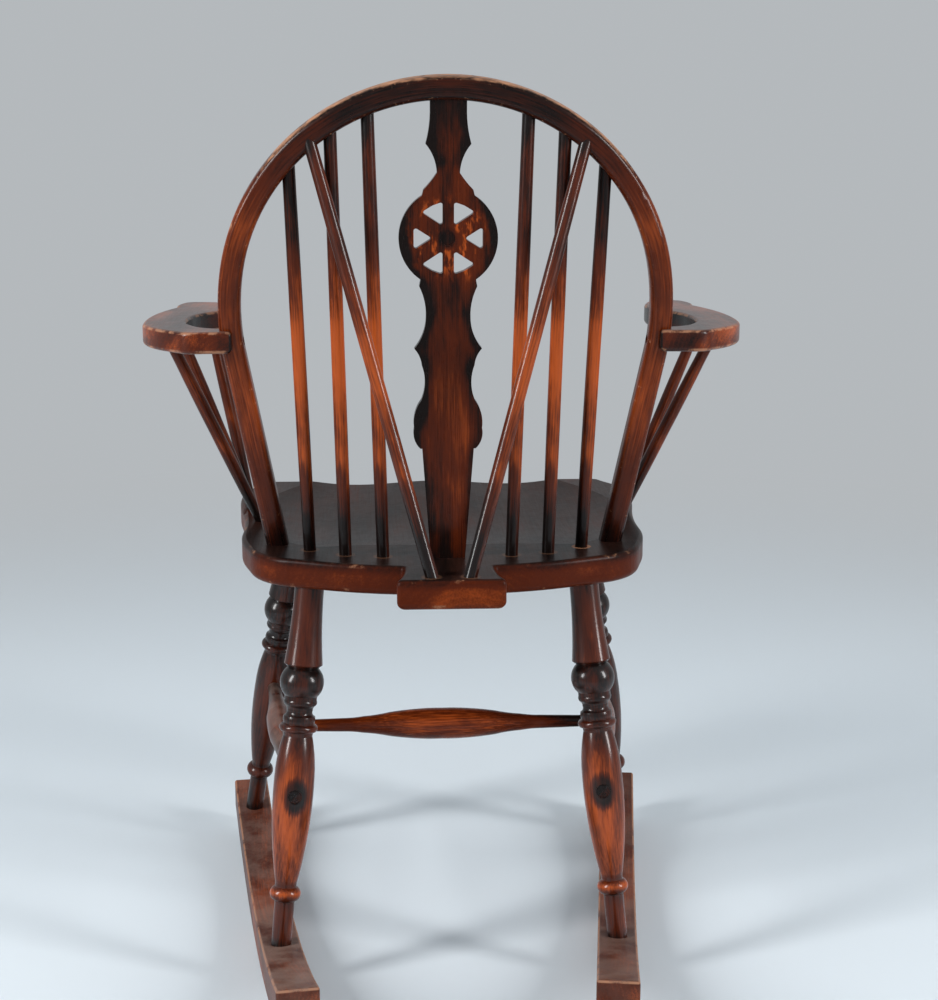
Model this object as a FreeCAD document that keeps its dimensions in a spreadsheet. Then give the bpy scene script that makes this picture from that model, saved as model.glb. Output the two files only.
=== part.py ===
import FreeCAD
import Part

import math
import os

import Sketcher

# Hoop back rocking chair, millimetres. The sitter faces -Y, +X is to the sitter's left, +Z is up.
# The origin is on the floor, midway across the chair and midway between the seat's front edge
# and the rear tips of the rockers. "Set back" means measured rearwards from the seat's front edge,
# "inset" forwards from the rear edge of the seat board, where its tail begins.

V = FreeCAD.Vector
doc = FreeCAD.newDocument("RockingChair")
sheet = doc.addObject("Spreadsheet::Sheet", "Sizes")
rows = {}


def put(alias, value):
    """Writes one plain number in the sheet under its alias and gives the number back."""
    if alias in rows:
        raise ValueError("alias used twice: " + alias)
    rows[alias] = len(rows) + 1
    cell = "A%d" % rows[alias]
    sheet.set(cell, repr(round(float(value), 6)))
    sheet.setAlias(cell, alias)
    return float(value)


# Overall.
overall_depth = 670.0
fit_gap = 0.15
cut_overrun = 4.0

# The seat: a thick saddled board with a tail block behind.
seat_height = 468.0
seat_thick = 32.0
seat_depth = 465.0
seat_rear_half = 220.0
seat_front_half = 242.6
seat_corner_half = 205.0
seat_corner_round = 4.0
seat_top_round = 5.0
seat_under_round = 8.0
tail_length = 59.0
tail_root_half = 48.0
tail_end_half = 57.2
dish_depth = 12.0
dish_rim = 26.0
deck_depth = 100.0
pommel_half = 34.0
trough_drop = 6.5

# The hoop: one bent bow, its plane leaning back.
hoop_inset = 113.0
hoop_lean = 12.0
hoop_crown_high = 496.7
hoop_crown_radius = 224.5
hoop_crown_turn = 80.0
hoop_side_radius = 272.0
hoop_inward = 9.75
hoop_width = 23.6
hoop_thick = 24.0
hoop_round = 7.5
hoop_tenon_dia = 18.0
hoop_tenon_long = 24.0

# Back sticks.
stick_dia = 14.2
stick_end_dia = 13.4
stick_socket = 14.0
spindle_inner_x = 68.7
spindle_middle_x = 108.8
spindle_outer_x = 147.7
spindle_inner_inset = 47.0
spindle_middle_inset = 57.0
spindle_outer_inset = 81.0
spindle_inner_top_x = 80.9
spindle_middle_top_x = 118.2
spindle_outer_top_x = 160.5
spindle_forward = 2.5
brace_foot_x = 19.8
brace_foot_inset = 15.0
brace_top_x = 139.5
brace_back = 4.5

# The pierced wheel splat.
splat_inset = 41.0
splat_thick = 10.0
splat_foot_half = 18.3
splat_top_half = 18.4
splat_housing = 12.0
wheel_high = 338.0
wheel_radius = 50.3
wheel_rim = 14.0
spoke_half = 5.7
hub_radius = 7.2
hub_sink = 1.2

# Arms and their sticks.
arm_top_high = 240.5
arm_thick = 23.0
arm_out = 328.0
arm_length = 347.0
arm_rear_over = 26.3
arm_top_round = 4.0
arm_under_round = 5.0
arm_corner_round = 2.5
arm_stick_dia = 13.6
arm_stick_end_dia = 12.4
arm_socket = 14.0
arm_screw_dia = 5.0
arm_screw_head = 9.0
arm_screw_long = 46.0

# Turned legs.
rear_leg_top_x = 147.5
rear_leg_top_inset = 54.0
rear_leg_foot_x = 183.0
rear_leg_foot_over = 7.5
front_leg_top_x = 174.5
front_leg_top_set = 156.0
front_leg_foot_x = 237.5
front_leg_foot_set = 81.7
leg_top_dia = 31.5
leg_flare_dia = 41.5
leg_groove_dia = 33.0
leg_ball_dia = 46.2
leg_collar_dia = 35.0
leg_cove_dia = 28.0
leg_bead_dia = 33.8
leg_ring_dia = 39.8
leg_neck_dia = 31.4
leg_swell_dia = 43.4
leg_ankle_dia = 23.4
leg_foot_bead_dia = 34.5
leg_foot_dia = 21.6
leg_top_socket = 16.0
leg_foot_socket = 20.0

# Stretchers.
side_rear_share = 0.567
side_front_share = 0.531
side_tenon_dia = 14.6
side_swell_dia = 33.0
side_plug_proud = 0.6
cross_share = 0.55
cross_end_dia = 13.8
cross_swell_dia = 36.4
stretcher_socket = 12.0

# Rockers.
rocker_top_radius = 1200.0
rocker_high = 36.0
rocker_wide = 43.0
rocker_front_over = 65.0
rocker_low_back = 6.5
rocker_round = 3.0

# Every size above goes in the sheet under its own name.
for alias, value in list(globals().items()):
    if isinstance(value, float):
        put(alias, value)


def plane(body, role):
    for feature in body.Origin.OriginFeatures:
        if feature.Role == role:
            return feature
    raise LookupError(role)


def bind(obj, prop, alias):
    obj.setExpression(prop, "Sizes." + alias)


def tie(sketch, kind, refs, alias, value):
    """Adds one dimension to a sketch and binds it to its cell."""
    index = sketch.addConstraint(Sketcher.Constraint(kind, *(list(refs) + [value])))
    label = "d_" + alias
    sketch.renameConstraint(index, label)
    sketch.setExpression("Constraints." + label, "Sizes." + alias)


def profile(body, role, name, points, rises, closed=True):
    """A sketch of lines and arcs through the points. Each rise is an arc's height to the left."""
    sketch = body.newObject("Sketcher::SketchObject", name)
    sketch.AttachmentSupport = (plane(body, role), [""])
    sketch.MapMode = "FlatFace"
    count = len(points)
    spans = count if closed else count - 1
    starts = []
    for i in range(spans):
        p = V(points[i][0], points[i][1], 0)
        q = V(points[(i + 1) % count][0], points[(i + 1) % count][1], 0)
        rise = rises[i]
        if rise:
            chord = q - p
            side = V(-chord.y, chord.x, 0).normalize()
            middle = (p + q) * 0.5 + side * rise
            geo = sketch.addGeometry(Part.Arc(p, middle, q), False)
        else:
            geo = sketch.addGeometry(Part.LineSegment(p, q), False)
        first = sketch.getPoint(geo, 1)
        starts.append(1 if first.distanceToPoint(p) < first.distanceToPoint(q) else 2)
    for i in range(spans if closed else spans - 1):
        j = (i + 1) % spans
        refs = (i, 3 - starts[i], j, starts[j])
        sketch.addConstraint(Sketcher.Constraint("Coincident", *refs))
    for i in range(count):
        if i < spans:
            geo, pos = i, starts[i]
        else:
            geo, pos = i - 1, 3 - starts[i - 1]
        for axis, kind, own in ((0, "DistanceX", -2), (1, "DistanceY", -1)):
            value = points[i][axis]
            if value == 0:
                sketch.addConstraint(Sketcher.Constraint("PointOnObject", geo, pos, own))
                continue
            alias = put("%s_%s%d" % (name, "xy"[axis], i), value)
            tie(sketch, kind, (-1, 1, geo, pos), "%s_%s%d" % (name, "xy"[axis], i), alias)
    for i in range(spans):
        if rises[i]:
            p, q = points[i], points[(i + 1) % count]
            chord = math.hypot(q[0] - p[0], q[1] - p[1])
            rise = abs(rises[i])
            radius = chord * chord / (8 * rise) + rise / 2
            alias = "%s_r%d" % (name, i)
            tie(sketch, "Radius", (i,), alias, put(alias, radius))
    return sketch


def unit(x, y):
    size = math.hypot(x, y)
    return (x / size, y / size)


def arc_rise(p, q, way):
    """Rise to the left of the arc that leaves p along a direction and ends at q."""
    chord = (q[0] - p[0], q[1] - p[1])
    size = math.hypot(*chord)
    turn = math.atan2(chord[0] * way[1] - chord[1] * way[0], chord[0] * way[0] + chord[1] * way[1])
    rise = size / 2 * math.tan(turn / 2)
    return rise if abs(rise) > size / 4000 else 0


def leaving(p, q, way):
    """Direction at q of the arc that leaves p along a direction."""
    chord = unit(q[0] - p[0], q[1] - p[1])
    dot = chord[0] * way[0] + chord[1] * way[1]
    return unit(2 * dot * chord[0] - way[0], 2 * dot * chord[1] - way[1])


def middle_way(a, b, c):
    """Direction at b of the circle through three points."""
    ab, bc = math.hypot(b[0] - a[0], b[1] - a[1]), math.hypot(c[0] - b[0], c[1] - b[1])
    u, v = unit(b[0] - a[0], b[1] - a[1]), unit(c[0] - b[0], c[1] - b[1])
    return unit(u[0] * bc + v[0] * ab, u[1] * bc + v[1] * ab)


def flow(stops):
    """A smooth line of arcs through the stops. A stop is (x, y) or (x, y, note): the note is
    "corner" for a sharp turn or a direction the line must have there."""
    points, rises, ways = [], [], []
    for i, stop in enumerate(stops):
        note = stop[2] if len(stop) > 2 else None
        if note == "corner":
            ways.append(None)
        elif note:
            ways.append(unit(*note))
        else:
            ways.append(middle_way(stops[i - 1], stop, stops[i + 1]))
    for i in range(len(stops) - 1):
        p, q = stops[i][:2], stops[i + 1][:2]
        a, b = ways[i], ways[i + 1]
        points.append(p)
        if a is None and b is None:
            rises.append(0)
        elif b is None:
            rises.append(arc_rise(p, q, a))
        elif a is None:
            back = leaving(q, p, (-b[0], -b[1]))
            rises.append(arc_rise(p, q, (-back[0], -back[1])))
        else:
            v = (q[0] - p[0], q[1] - p[1])
            total = (a[0] + b[0], a[1] + b[1])
            along = v[0] * total[0] + v[1] * total[1]
            spread = 2 * (1 - a[0] * b[0] - a[1] * b[1])
            size = v[0] ** 2 + v[1] ** 2
            if spread * size < along ** 2 / 1000000:
                reach = size / (2 * along)
            else:
                reach = (-along + math.sqrt(along ** 2 + spread * size)) / spread
            joint = ((p[0] + q[0] + reach * (a[0] - b[0])) / 2,
                     (p[1] + q[1] + reach * (a[1] - b[1])) / 2)
            rises.append(arc_rise(p, joint, a))
            points.append(joint)
            rises.append(-arc_rise(q, joint, (-b[0], -b[1])))
    points.append(stops[-1][:2])
    return points, rises


def rounded(corners, radius):
    """A closed outline of straight sides with every corner rounded: its points and rises."""
    points, rises = [], []
    for i, here in enumerate(corners):
        back, ahead = corners[i - 1], corners[(i + 1) % len(corners)]
        a = unit(back[0] - here[0], back[1] - here[1])
        b = unit(ahead[0] - here[0], ahead[1] - here[1])
        half = math.acos(a[0] * b[0] + a[1] * b[1]) / 2
        reach = radius / math.tan(half)
        p = (here[0] + a[0] * reach, here[1] + a[1] * reach)
        q = (here[0] + b[0] * reach, here[1] + b[1] * reach)
        left = (q[0] - p[0]) * (here[1] - p[1]) - (q[1] - p[1]) * (here[0] - p[0])
        bulge = radius * (1 - math.sin(half))
        points += [p, q]
        rises += [bulge if left > 0 else -bulge, 0]
    return points, rises


def finished(obj, label, placement=None):
    obj.Label = label
    if placement is not None:
        obj.Placement = placement
    kept.append(obj)
    return obj


def along_x(p, q):
    return FreeCAD.Placement(p, FreeCAD.Rotation(V(1, 0, 0), q - p))


def along_z(p, q):
    return FreeCAD.Placement(p, FreeCAD.Rotation(V(0, 0, 1), q - p))


def turned(name, p, q, stations):
    """A turned piece from p to q. Each station is (distance, diameter, rise to the next)."""
    body = doc.addObject("PartDesign::Body", name + "_body")
    points = [(0, 0)] + [(s[0], s[1] / 2) for s in stations] + [(stations[-1][0], 0)]
    rises = [0] + [s[2] for s in stations] + [0]
    sketch = profile(body, "XY_Plane", name + "_p", points, rises)
    spin = body.newObject("PartDesign::Revolution", name + "_spin")
    spin.Profile = sketch
    spin.ReferenceAxis = (sketch, ["H_Axis"])
    spin.Angle = 360.0
    body.Placement = along_x(p, q)
    return body


def stick_stations(length, middle, end, socket):
    """A plain shaved stick, thickest in the middle, with straight ends that fill the sockets."""
    swell = (middle - end) / 4
    plain = socket + 2 * end
    return [(0, end, 0), (plain, end, swell), (length / 2, middle, swell),
            (length - plain, end, 0), (length, end, 0)]


def bore(name, p, q, radius):
    """A round cutting tool from p to q, as wide as the piece that goes in it plus the gap."""
    tool = doc.addObject("Part::Cylinder", name)
    put(name + "_radius", radius + fit_gap)
    put(name + "_long", (q - p).Length)
    bind(tool, "Radius", name + "_radius")
    bind(tool, "Height", name + "_long")
    tool.Placement = along_z(p, q)
    return tool


def cut(name, base, tools):
    joined = tools[0]
    if len(tools) > 1:
        joined = doc.addObject("Part::MultiFuse", name + "_tools")
        joined.Shapes = tools
    result = doc.addObject("Part::Cut", name)
    result.Base = base
    result.Tool = joined
    return result


def mirrored(name, source):
    other = doc.addObject("Part::Mirroring", name)
    other.Source = source
    other.Normal = V(1, 0, 0)
    other.Base = V(0, 0, 0)
    return other


def toward(p, q, distance):
    return p + (q - p).normalize() * distance


kept = []
front_y = -overall_depth / 2
hoop_set = seat_depth - hoop_inset
rear_leg_top_set = seat_depth - rear_leg_top_inset
rear_leg_foot_set = seat_depth + rear_leg_foot_over


def place(x, set_back, z):
    return V(x, front_y + set_back, z)


# Where the pieces meet.
lean = math.radians(hoop_lean)
hoop_up = V(0, math.sin(lean), math.cos(lean))
hoop_front = V(0, -math.cos(lean), math.sin(lean))


def on_hoop(x, up, forward=0):
    """A point x across and up along the hoop's plane, forward of it by the last value."""
    return place(0, hoop_set, seat_height) + V(x, 0, 0) + hoop_up * up + hoop_front * forward


# The bow's centre line: crown arc, side arc, then a straight leg that runs inwards to the seat.
crown_turn = math.radians(hoop_crown_turn)
inward = math.radians(hoop_inward)
crown_centre = hoop_crown_high - hoop_crown_radius
shoulder = (hoop_crown_radius * math.sin(crown_turn),
            crown_centre + hoop_crown_radius * math.cos(crown_turn))
side_centre = (shoulder[0] - hoop_side_radius * math.sin(crown_turn),
               shoulder[1] - hoop_side_radius * math.cos(crown_turn))
haunch = (side_centre[0] + hoop_side_radius * math.cos(inward),
          side_centre[1] - hoop_side_radius * math.sin(inward))
hoop_foot_x = haunch[0] - haunch[1] * math.tan(inward)


def bow_height(x):
    """Height of the bow's centre line above a place x across, inside the crown arc."""
    return crown_centre + math.sqrt(hoop_crown_radius ** 2 - x ** 2)


def bow_x(up):
    """Half width of the bow's centre line at a height, below the crown arc."""
    if up > haunch[1]:
        return side_centre[0] + math.sqrt(hoop_side_radius ** 2 - (up - side_centre[1]) ** 2)
    return haunch[0] - (haunch[1] - up) * math.tan(inward)


seat_low = seat_height - seat_thick
rocker_centre_high = rocker_high + rocker_top_radius
foot_middle_set = (rear_leg_foot_set + front_leg_foot_set) / 2
foot_run = rear_leg_foot_set - front_leg_foot_set
rocker_toe = math.atan((front_leg_foot_x - rear_leg_foot_x) / foot_run)
rocker_low_set = foot_middle_set + rocker_low_back


def rocker_top(set_back):
    """Height of a rocker's top above the floor where it passes a set-back distance."""
    along = (set_back - rocker_low_set) / math.cos(rocker_toe)
    return rocker_centre_high - math.sqrt(rocker_top_radius ** 2 - along ** 2)


def leg_points(side, rear):
    if rear:
        top = place(side * rear_leg_top_x, rear_leg_top_set, seat_low)
        foot = place(side * rear_leg_foot_x, rear_leg_foot_set, rocker_top(rear_leg_foot_set))
    else:
        top = place(side * front_leg_top_x, front_leg_top_set, seat_low)
        foot = place(side * front_leg_foot_x, front_leg_foot_set, rocker_top(front_leg_foot_set))
    return top, foot


# One pattern for all four: plain flare, groove, ball, collar, cove, bead, ring, long baluster
# swell, ankle, foot bead and a straight foot. The places are shares of the leg's open length.
leg_shares = (0.219, 0.228, 0.268, 0.307, 0.318, 0.332, 0.346, 0.362, 0.38, 0.39, 0.406,
              0.417, 0.536, 0.827, 0.841, 0.861, 0.877)


def leg_stations(length):
    s = [share * length for share in leg_shares]
    top = leg_top_socket
    flare_sag = (leg_flare_dia - leg_top_dia) / 7
    ball = (leg_ball_dia - leg_groove_dia) / 2
    ring = (leg_ring_dia - leg_neck_dia) / 2
    collar = (leg_collar_dia - leg_cove_dia) / 4
    bead = (leg_bead_dia - leg_cove_dia) / 4
    swell = (leg_swell_dia - leg_neck_dia) / 8
    waist = (leg_swell_dia - leg_ankle_dia) / 12
    foot_bead = (leg_foot_bead_dia - leg_ankle_dia) / 2
    ball_low = leg_groove_dia + ring / 2
    return [
        (0, leg_top_dia, 0),
        (top, leg_top_dia, -flare_sag),
        (top + s[0], leg_flare_dia, 0),
        (top + s[1], leg_groove_dia, ball),
        (top + s[3], ball_low, 0),
        (top + s[4], leg_collar_dia, collar / 2),
        (top + s[5], leg_collar_dia - collar, -collar / 2),
        (top + s[6], leg_cove_dia, -bead),
        (top + s[7], leg_bead_dia, bead / 3),
        (top + s[8], leg_bead_dia, 0),
        (top + s[8] + ring / 3, leg_neck_dia + ring / 2, ring),
        (top + s[10], leg_neck_dia + ring / 3, 0),
        (top + s[11], leg_neck_dia, swell),
        (top + s[12], leg_swell_dia, swell + waist),
        (top + s[13], leg_ankle_dia, 0),
        (top + s[14] - foot_bead / 4, leg_ankle_dia, foot_bead),
        (top + s[16], leg_foot_dia, 0),
        (top + length + leg_foot_socket, leg_foot_dia, 0),
    ]


legs = {}
leg_cuts = {}
for rear in (True, False):
    for side in (-1, 1):
        end = "rear" if rear else "front"
        hand = "left" if side > 0 else "right"
        name = "leg_%s_%s" % (end, hand)
        top, foot = leg_points(side, rear)
        head = toward(top, foot, -leg_top_socket)
        legs[name] = turned(name, head, foot, leg_stations((foot - top).Length))
        leg_cuts[name] = []

# The side stretchers run from leg to leg, the cross stretcher between them.
side_bars = {}
cross_at = {}
for side in (-1, 1):
    hand = "left" if side > 0 else "right"
    rear_top, rear_foot = leg_points(side, True)
    front_top, front_foot = leg_points(side, False)
    rear_axis = rear_top + (rear_foot - rear_top) * side_rear_share
    front_axis = front_top + (front_foot - front_top) * side_front_share
    # The rear end runs right through the leg and shows on its back face.
    through = leg_swell_dia / 2 + side_plug_proud
    p = toward(rear_axis, front_axis, -through)
    q = toward(front_axis, rear_axis, leg_ring_dia / 2 - stretcher_socket)
    span = (q - p).Length
    reach = (rear_axis - p).Length
    open_run = (front_axis - rear_axis).Length
    middle = reach + open_run * cross_share
    shoulder_rear = reach + leg_swell_dia / 2
    shoulder_front = span - stretcher_socket
    fine = side_tenon_dia + (side_swell_dia - side_tenon_dia) / 8
    sag = (side_swell_dia - side_tenon_dia) / 12
    body = turned("stretcher_side_" + hand, p, q, [
        (0, side_tenon_dia, 0),
        (shoulder_rear, side_tenon_dia, 0),
        (shoulder_rear + (middle - shoulder_rear) / 4, fine, -sag / 2),
        (middle - (middle - shoulder_rear) / 5, side_swell_dia - sag, sag / 2),
        (middle + (shoulder_front - middle) / 5, side_swell_dia - sag, -sag / 2),
        (shoulder_front - (shoulder_front - middle) / 4, fine, 0),
        (shoulder_front, side_tenon_dia, 0),
        (span, side_tenon_dia, 0)])
    side_bars[hand] = body
    cross_at[hand] = rear_axis + (front_axis - rear_axis) * cross_share
    leg_cuts["leg_rear_" + hand].append(
        bore("bore_side_rear_" + hand, toward(p, q, -cut_overrun),
             toward(rear_axis, front_axis, leg_swell_dia), side_tenon_dia / 2))
    leg_cuts["leg_front_" + hand].append(
        bore("bore_side_front_" + hand, toward(q, p, -fit_gap),
             toward(front_axis, rear_axis, leg_swell_dia), side_tenon_dia / 2))

for name, body in legs.items():
    finished(cut(name + "_bored", body, leg_cuts[name]), name)

left, right = cross_at["left"], cross_at["right"]
sink = side_swell_dia / 2 - stretcher_socket
p = toward(left, right, sink)
q = toward(right, left, sink)
span = (q - p).Length
half = span / 2
# Places along the bar as shares of half its length, and thickness as shares of the swell.
cross_shares = ((0.36, 0.09), (0.50, 0.26), (0.66, 0.63), (0.84, 0.94))
gain = cross_swell_dia - cross_end_dia
stations = [(0, cross_end_dia, 0), (2 * stretcher_socket, cross_end_dia, 0)]
for at, much in cross_shares:
    stations.append((half * at, cross_end_dia + gain * much, 0))
stations.append((half, cross_swell_dia, 0))
for at, much in reversed(cross_shares):
    stations.append((span - half * at, cross_end_dia + gain * much, 0))
stations += [(span - 2 * stretcher_socket, cross_end_dia, 0), (span, cross_end_dia, 0)]
hollow = -gain / 40
bulge = gain / 60
cross_rises = (0, 0, hollow, hollow, bulge, bulge, bulge, bulge, hollow, hollow, 0, 0, 0)
stations = [(s[0], s[1], r) for s, r in zip(stations, cross_rises)]
finished(turned("stretcher_cross", p, q, stations), "stretcher_cross")
for hand, near, far in (("left", left, right), ("right", right, left)):
    start = toward(near, far, sink - fit_gap)
    tool = bore("bore_cross_" + hand, start, toward(near, far, side_swell_dia),
                cross_end_dia / 2)
    name = "stretcher_side_" + hand
    finished(cut(name + "_bored", side_bars[hand], [tool]), name)

# The seat board.
# Half the outline, from the middle of the front edge round to the middle of the tail. Places
# across are shares of the half widths and places back are shares of the depth before the tail.
tail_end = seat_depth + tail_length
seat_stops = [
    (0, 0, (1, 0)),
    (seat_corner_half, 0, (1, 0)),
    (seat_front_half * 0.932, seat_depth * 0.056),
    (seat_front_half, seat_depth * 0.205, (0, 1)),
    (seat_front_half * 0.943, seat_depth * 0.49),
    (seat_rear_half, seat_depth * 0.75),
    (seat_rear_half * 0.91, seat_depth * 0.865),
    (seat_rear_half * 0.61, seat_depth * 0.95),
    (tail_root_half, seat_depth, "corner"),
    (tail_end_half, tail_end, "corner"),
    (0, tail_end, "corner"),
]
seat_points, seat_rises = flow(seat_stops)
tail_side = seat_points.index((tail_root_half, seat_depth))
seat_rises[tail_side] = (tail_end_half - tail_root_half) / 3
seat_rises.append(0)
seat_body = doc.addObject("PartDesign::Body", "seat_body")
seat_sketch = profile(seat_body, "XY_Plane", "seat_o", seat_points, seat_rises)
seat_pad = seat_body.newObject("PartDesign::Pad", "seat_pad")
seat_pad.Profile = seat_sketch
bind(seat_pad, "Length", "seat_thick")
seat_half = seat_body.newObject("PartDesign::Mirrored", "seat_halves")
seat_half.Originals = [seat_pad]
seat_half.MirrorPlane = (plane(seat_body, "YZ_Plane"), [""])
seat_body.Tip = seat_half


def rim_edges(shape, level):
    """Names of the edges that lie all along one level."""
    names = []
    for i, edge in enumerate(shape.Edges):
        box = edge.BoundBox
        if abs(box.ZMin - level) < fit_gap / 9 and abs(box.ZMax - level) < fit_gap / 9:
            names.append("Edge%d" % (i + 1))
    return names


def upright_corners(shape):
    """Names of the upright edges where two faces meet at a sharp turn."""
    names = []
    for i, edge in enumerate(shape.Edges):
        if edge.BoundBox.ZLength < edge.Length * 0.99:
            continue
        middle = edge.valueAt((edge.FirstParameter + edge.LastParameter) / 2)
        faces = shape.ancestorsOfType(edge, Part.Face)
        normals = [face.normalAt(*face.Surface.parameter(middle)) for face in faces]
        if len(normals) == 2 and normals[0].getAngle(normals[1]) > math.radians(9):
            names.append("Edge%d" % (i + 1))
    return names


def eased(body, base, name, low_level, high_level, corner, low, high):
    """Rounds a flat board's sharp upright corners, then its lower rim, then its upper rim."""
    steps = (("corners", corner, upright_corners), ("low", low, low_level),
             ("high", high, high_level))
    for label, alias, pick in steps:
        doc.recompute()
        step = body.newObject("PartDesign::Fillet", name + "_" + label)
        shape = base.Shape
        step.Base = (base, pick(shape) if callable(pick) else rim_edges(shape, pick))
        bind(step, "Radius", alias)
        body.Tip = step
        base = step
    doc.recompute()


eased(seat_body, seat_half, "seat", 0, seat_thick, "seat_corner_round", "seat_under_round",
      "seat_top_round")
seat_body.Placement = FreeCAD.Placement(place(0, 0, seat_low), FreeCAD.Rotation())


# The saddle: a smooth hollow with a raised pommel in the middle of the front edge. Each section
# across the seat starts above the rim, dips below it and comes up again.
def saddle_section(set_back, reach, dip, pommel):
    lift = seat_top_round
    top = seat_height + seat_thick
    half_line = [(reach * 1.0 + dish_rim / 2, lift), (reach * 0.9, -dip * 0.35),
                 (reach * 0.6, -dip), (reach * 0.3, -dip + pommel * 0.45), (0, -dip + pommel)]
    line = [place(-x, set_back, seat_height + z) for x, z in half_line]
    line += [place(x, set_back, seat_height + z) for x, z in reversed(half_line[:-1])]
    curve = Part.BSplineCurve()
    curve.interpolate(line)
    ends = (line[-1], V(line[-1].x, line[-1].y, top), V(line[0].x, line[0].y, top), line[0])
    edges = [curve.toShape()] + [Part.makeLine(a, b) for a, b in zip(ends, ends[1:])]
    return Part.Wire(edges)


dish_back = seat_depth - deck_depth
rim_reach = seat_rear_half - dish_rim
front_reach = seat_corner_half - dish_rim / 2
wide_reach = seat_front_half - dish_rim
# Set-back, reach and dip of the sections as shares of the dish.
saddle_shares = ((-0.06, 0.80, 0.42, 0.62), (0.10, 0.90, 0.62, 0.62), (0.36, 1.0, 0.92, 0.45),
                 (0.66, 0.99, 1.0, 0.12), (0.88, 0.90, 0.60, 0.0), (1.02, 0.74, -0.12, 0.0))
sections = []
for at, width, dip, pommel in saddle_shares:
    spread = front_reach + (wide_reach - front_reach) * min(1.0, max(0.0, at) * 4)
    sections.append(saddle_section(dish_back * at, spread * width, dish_depth * dip,
                                   (trough_drop + pommel_half / 17) * pommel))
saddle = doc.addObject("Part::Feature", "seat_saddle")
saddle.Shape = Part.makeLoft(sections, True, False)

# The hoop, bent along its centre line.
bow_body = doc.addObject("PartDesign::Body", "hoop_body")
end_run = hoop_width
bow_end = (hoop_foot_x - end_run * math.sin(inward), -end_run * math.cos(inward))


def sagitta(radius, p, q):
    chord = math.hypot(q[0] - p[0], q[1] - p[1])
    return radius - math.sqrt(radius ** 2 - chord ** 2 / 4)


crown = (0, hoop_crown_high)
bow_path = profile(bow_body, "XY_Plane", "hoop_path", [crown, shoulder, haunch, bow_end],
                   [sagitta(hoop_crown_radius, crown, shoulder),
                    sagitta(hoop_side_radius, shoulder, haunch), 0], closed=False)
w, t, r = hoop_width / 2, hoop_thick / 2, hoop_round
bend = r * (1 - math.sqrt(0.5))
bow_points = [(hoop_crown_high - w + r, -t), (hoop_crown_high + w - r, -t),
              (hoop_crown_high + w, -t + r), (hoop_crown_high + w, t - r),
              (hoop_crown_high + w - r, t), (hoop_crown_high - w + r, t),
              (hoop_crown_high - w, t - r), (hoop_crown_high - w, -t + r)]
bow_section = profile(bow_body, "YZ_Plane", "hoop_sec", bow_points,
                      [0, -bend, 0, -bend, 0, -bend, 0, -bend])
bow_pipe = bow_body.newObject("PartDesign::AdditivePipe", "hoop_bend")
bow_pipe.Profile = bow_section
bow_pipe.Spine = (bow_path, ["Edge1", "Edge2", "Edge3"])
bow_both = bow_body.newObject("PartDesign::Mirrored", "hoop_halves")
bow_both.Originals = [bow_pipe]
bow_both.MirrorPlane = (plane(bow_body, "YZ_Plane"), [""])
bow_body.Tip = bow_both
bow_body.Placement = FreeCAD.Placement(
    place(0, hoop_set, seat_height), FreeCAD.Rotation(V(1, 0, 0), 90 - hoop_lean))

# The bow's legs stop flat on the seat, with a round tenon below.
trim = doc.addObject("Part::Box", "hoop_trim")
put("hoop_trim_side", 4 * hoop_foot_x)
bind(trim, "Length", "hoop_trim_side")
bind(trim, "Width", "hoop_trim_side")
put("hoop_trim_high", 3 * hoop_width)
bind(trim, "Height", "hoop_trim_high")
trim.Placement.Base = V(-2 * hoop_foot_x, -2 * hoop_foot_x, seat_height - 3 * hoop_width)
trimmed = cut("hoop_trimmed", bow_body, [trim])
hoop_tenons = []
seat_tools = [saddle]
for side in (-1, 1):
    hand = "left" if side > 0 else "right"
    start = on_hoop(side * bow_x(hoop_width), hoop_width)
    foot = on_hoop(side * hoop_foot_x, 0)
    tip = toward(foot, start, -hoop_tenon_long)
    peg = doc.addObject("Part::Cylinder", "hoop_tenon_" + hand)
    put("hoop_tenon_radius_" + hand, hoop_tenon_dia / 2)
    bind(peg, "Radius", "hoop_tenon_radius_" + hand)
    put("hoop_tenon_run_" + hand, (start - tip).Length)
    bind(peg, "Height", "hoop_tenon_run_" + hand)
    peg.Placement = along_z(tip, start)
    hoop_tenons.append(peg)
    seat_tools.append(bore("bore_hoop_" + hand, toward(tip, start, -fit_gap),
                           toward(foot, start, cut_overrun), hoop_tenon_dia / 2))
whole_bow = doc.addObject("Part::MultiFuse", "hoop_whole")
whole_bow.Shapes = [trimmed] + hoop_tenons
hoop_tools = []

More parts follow.
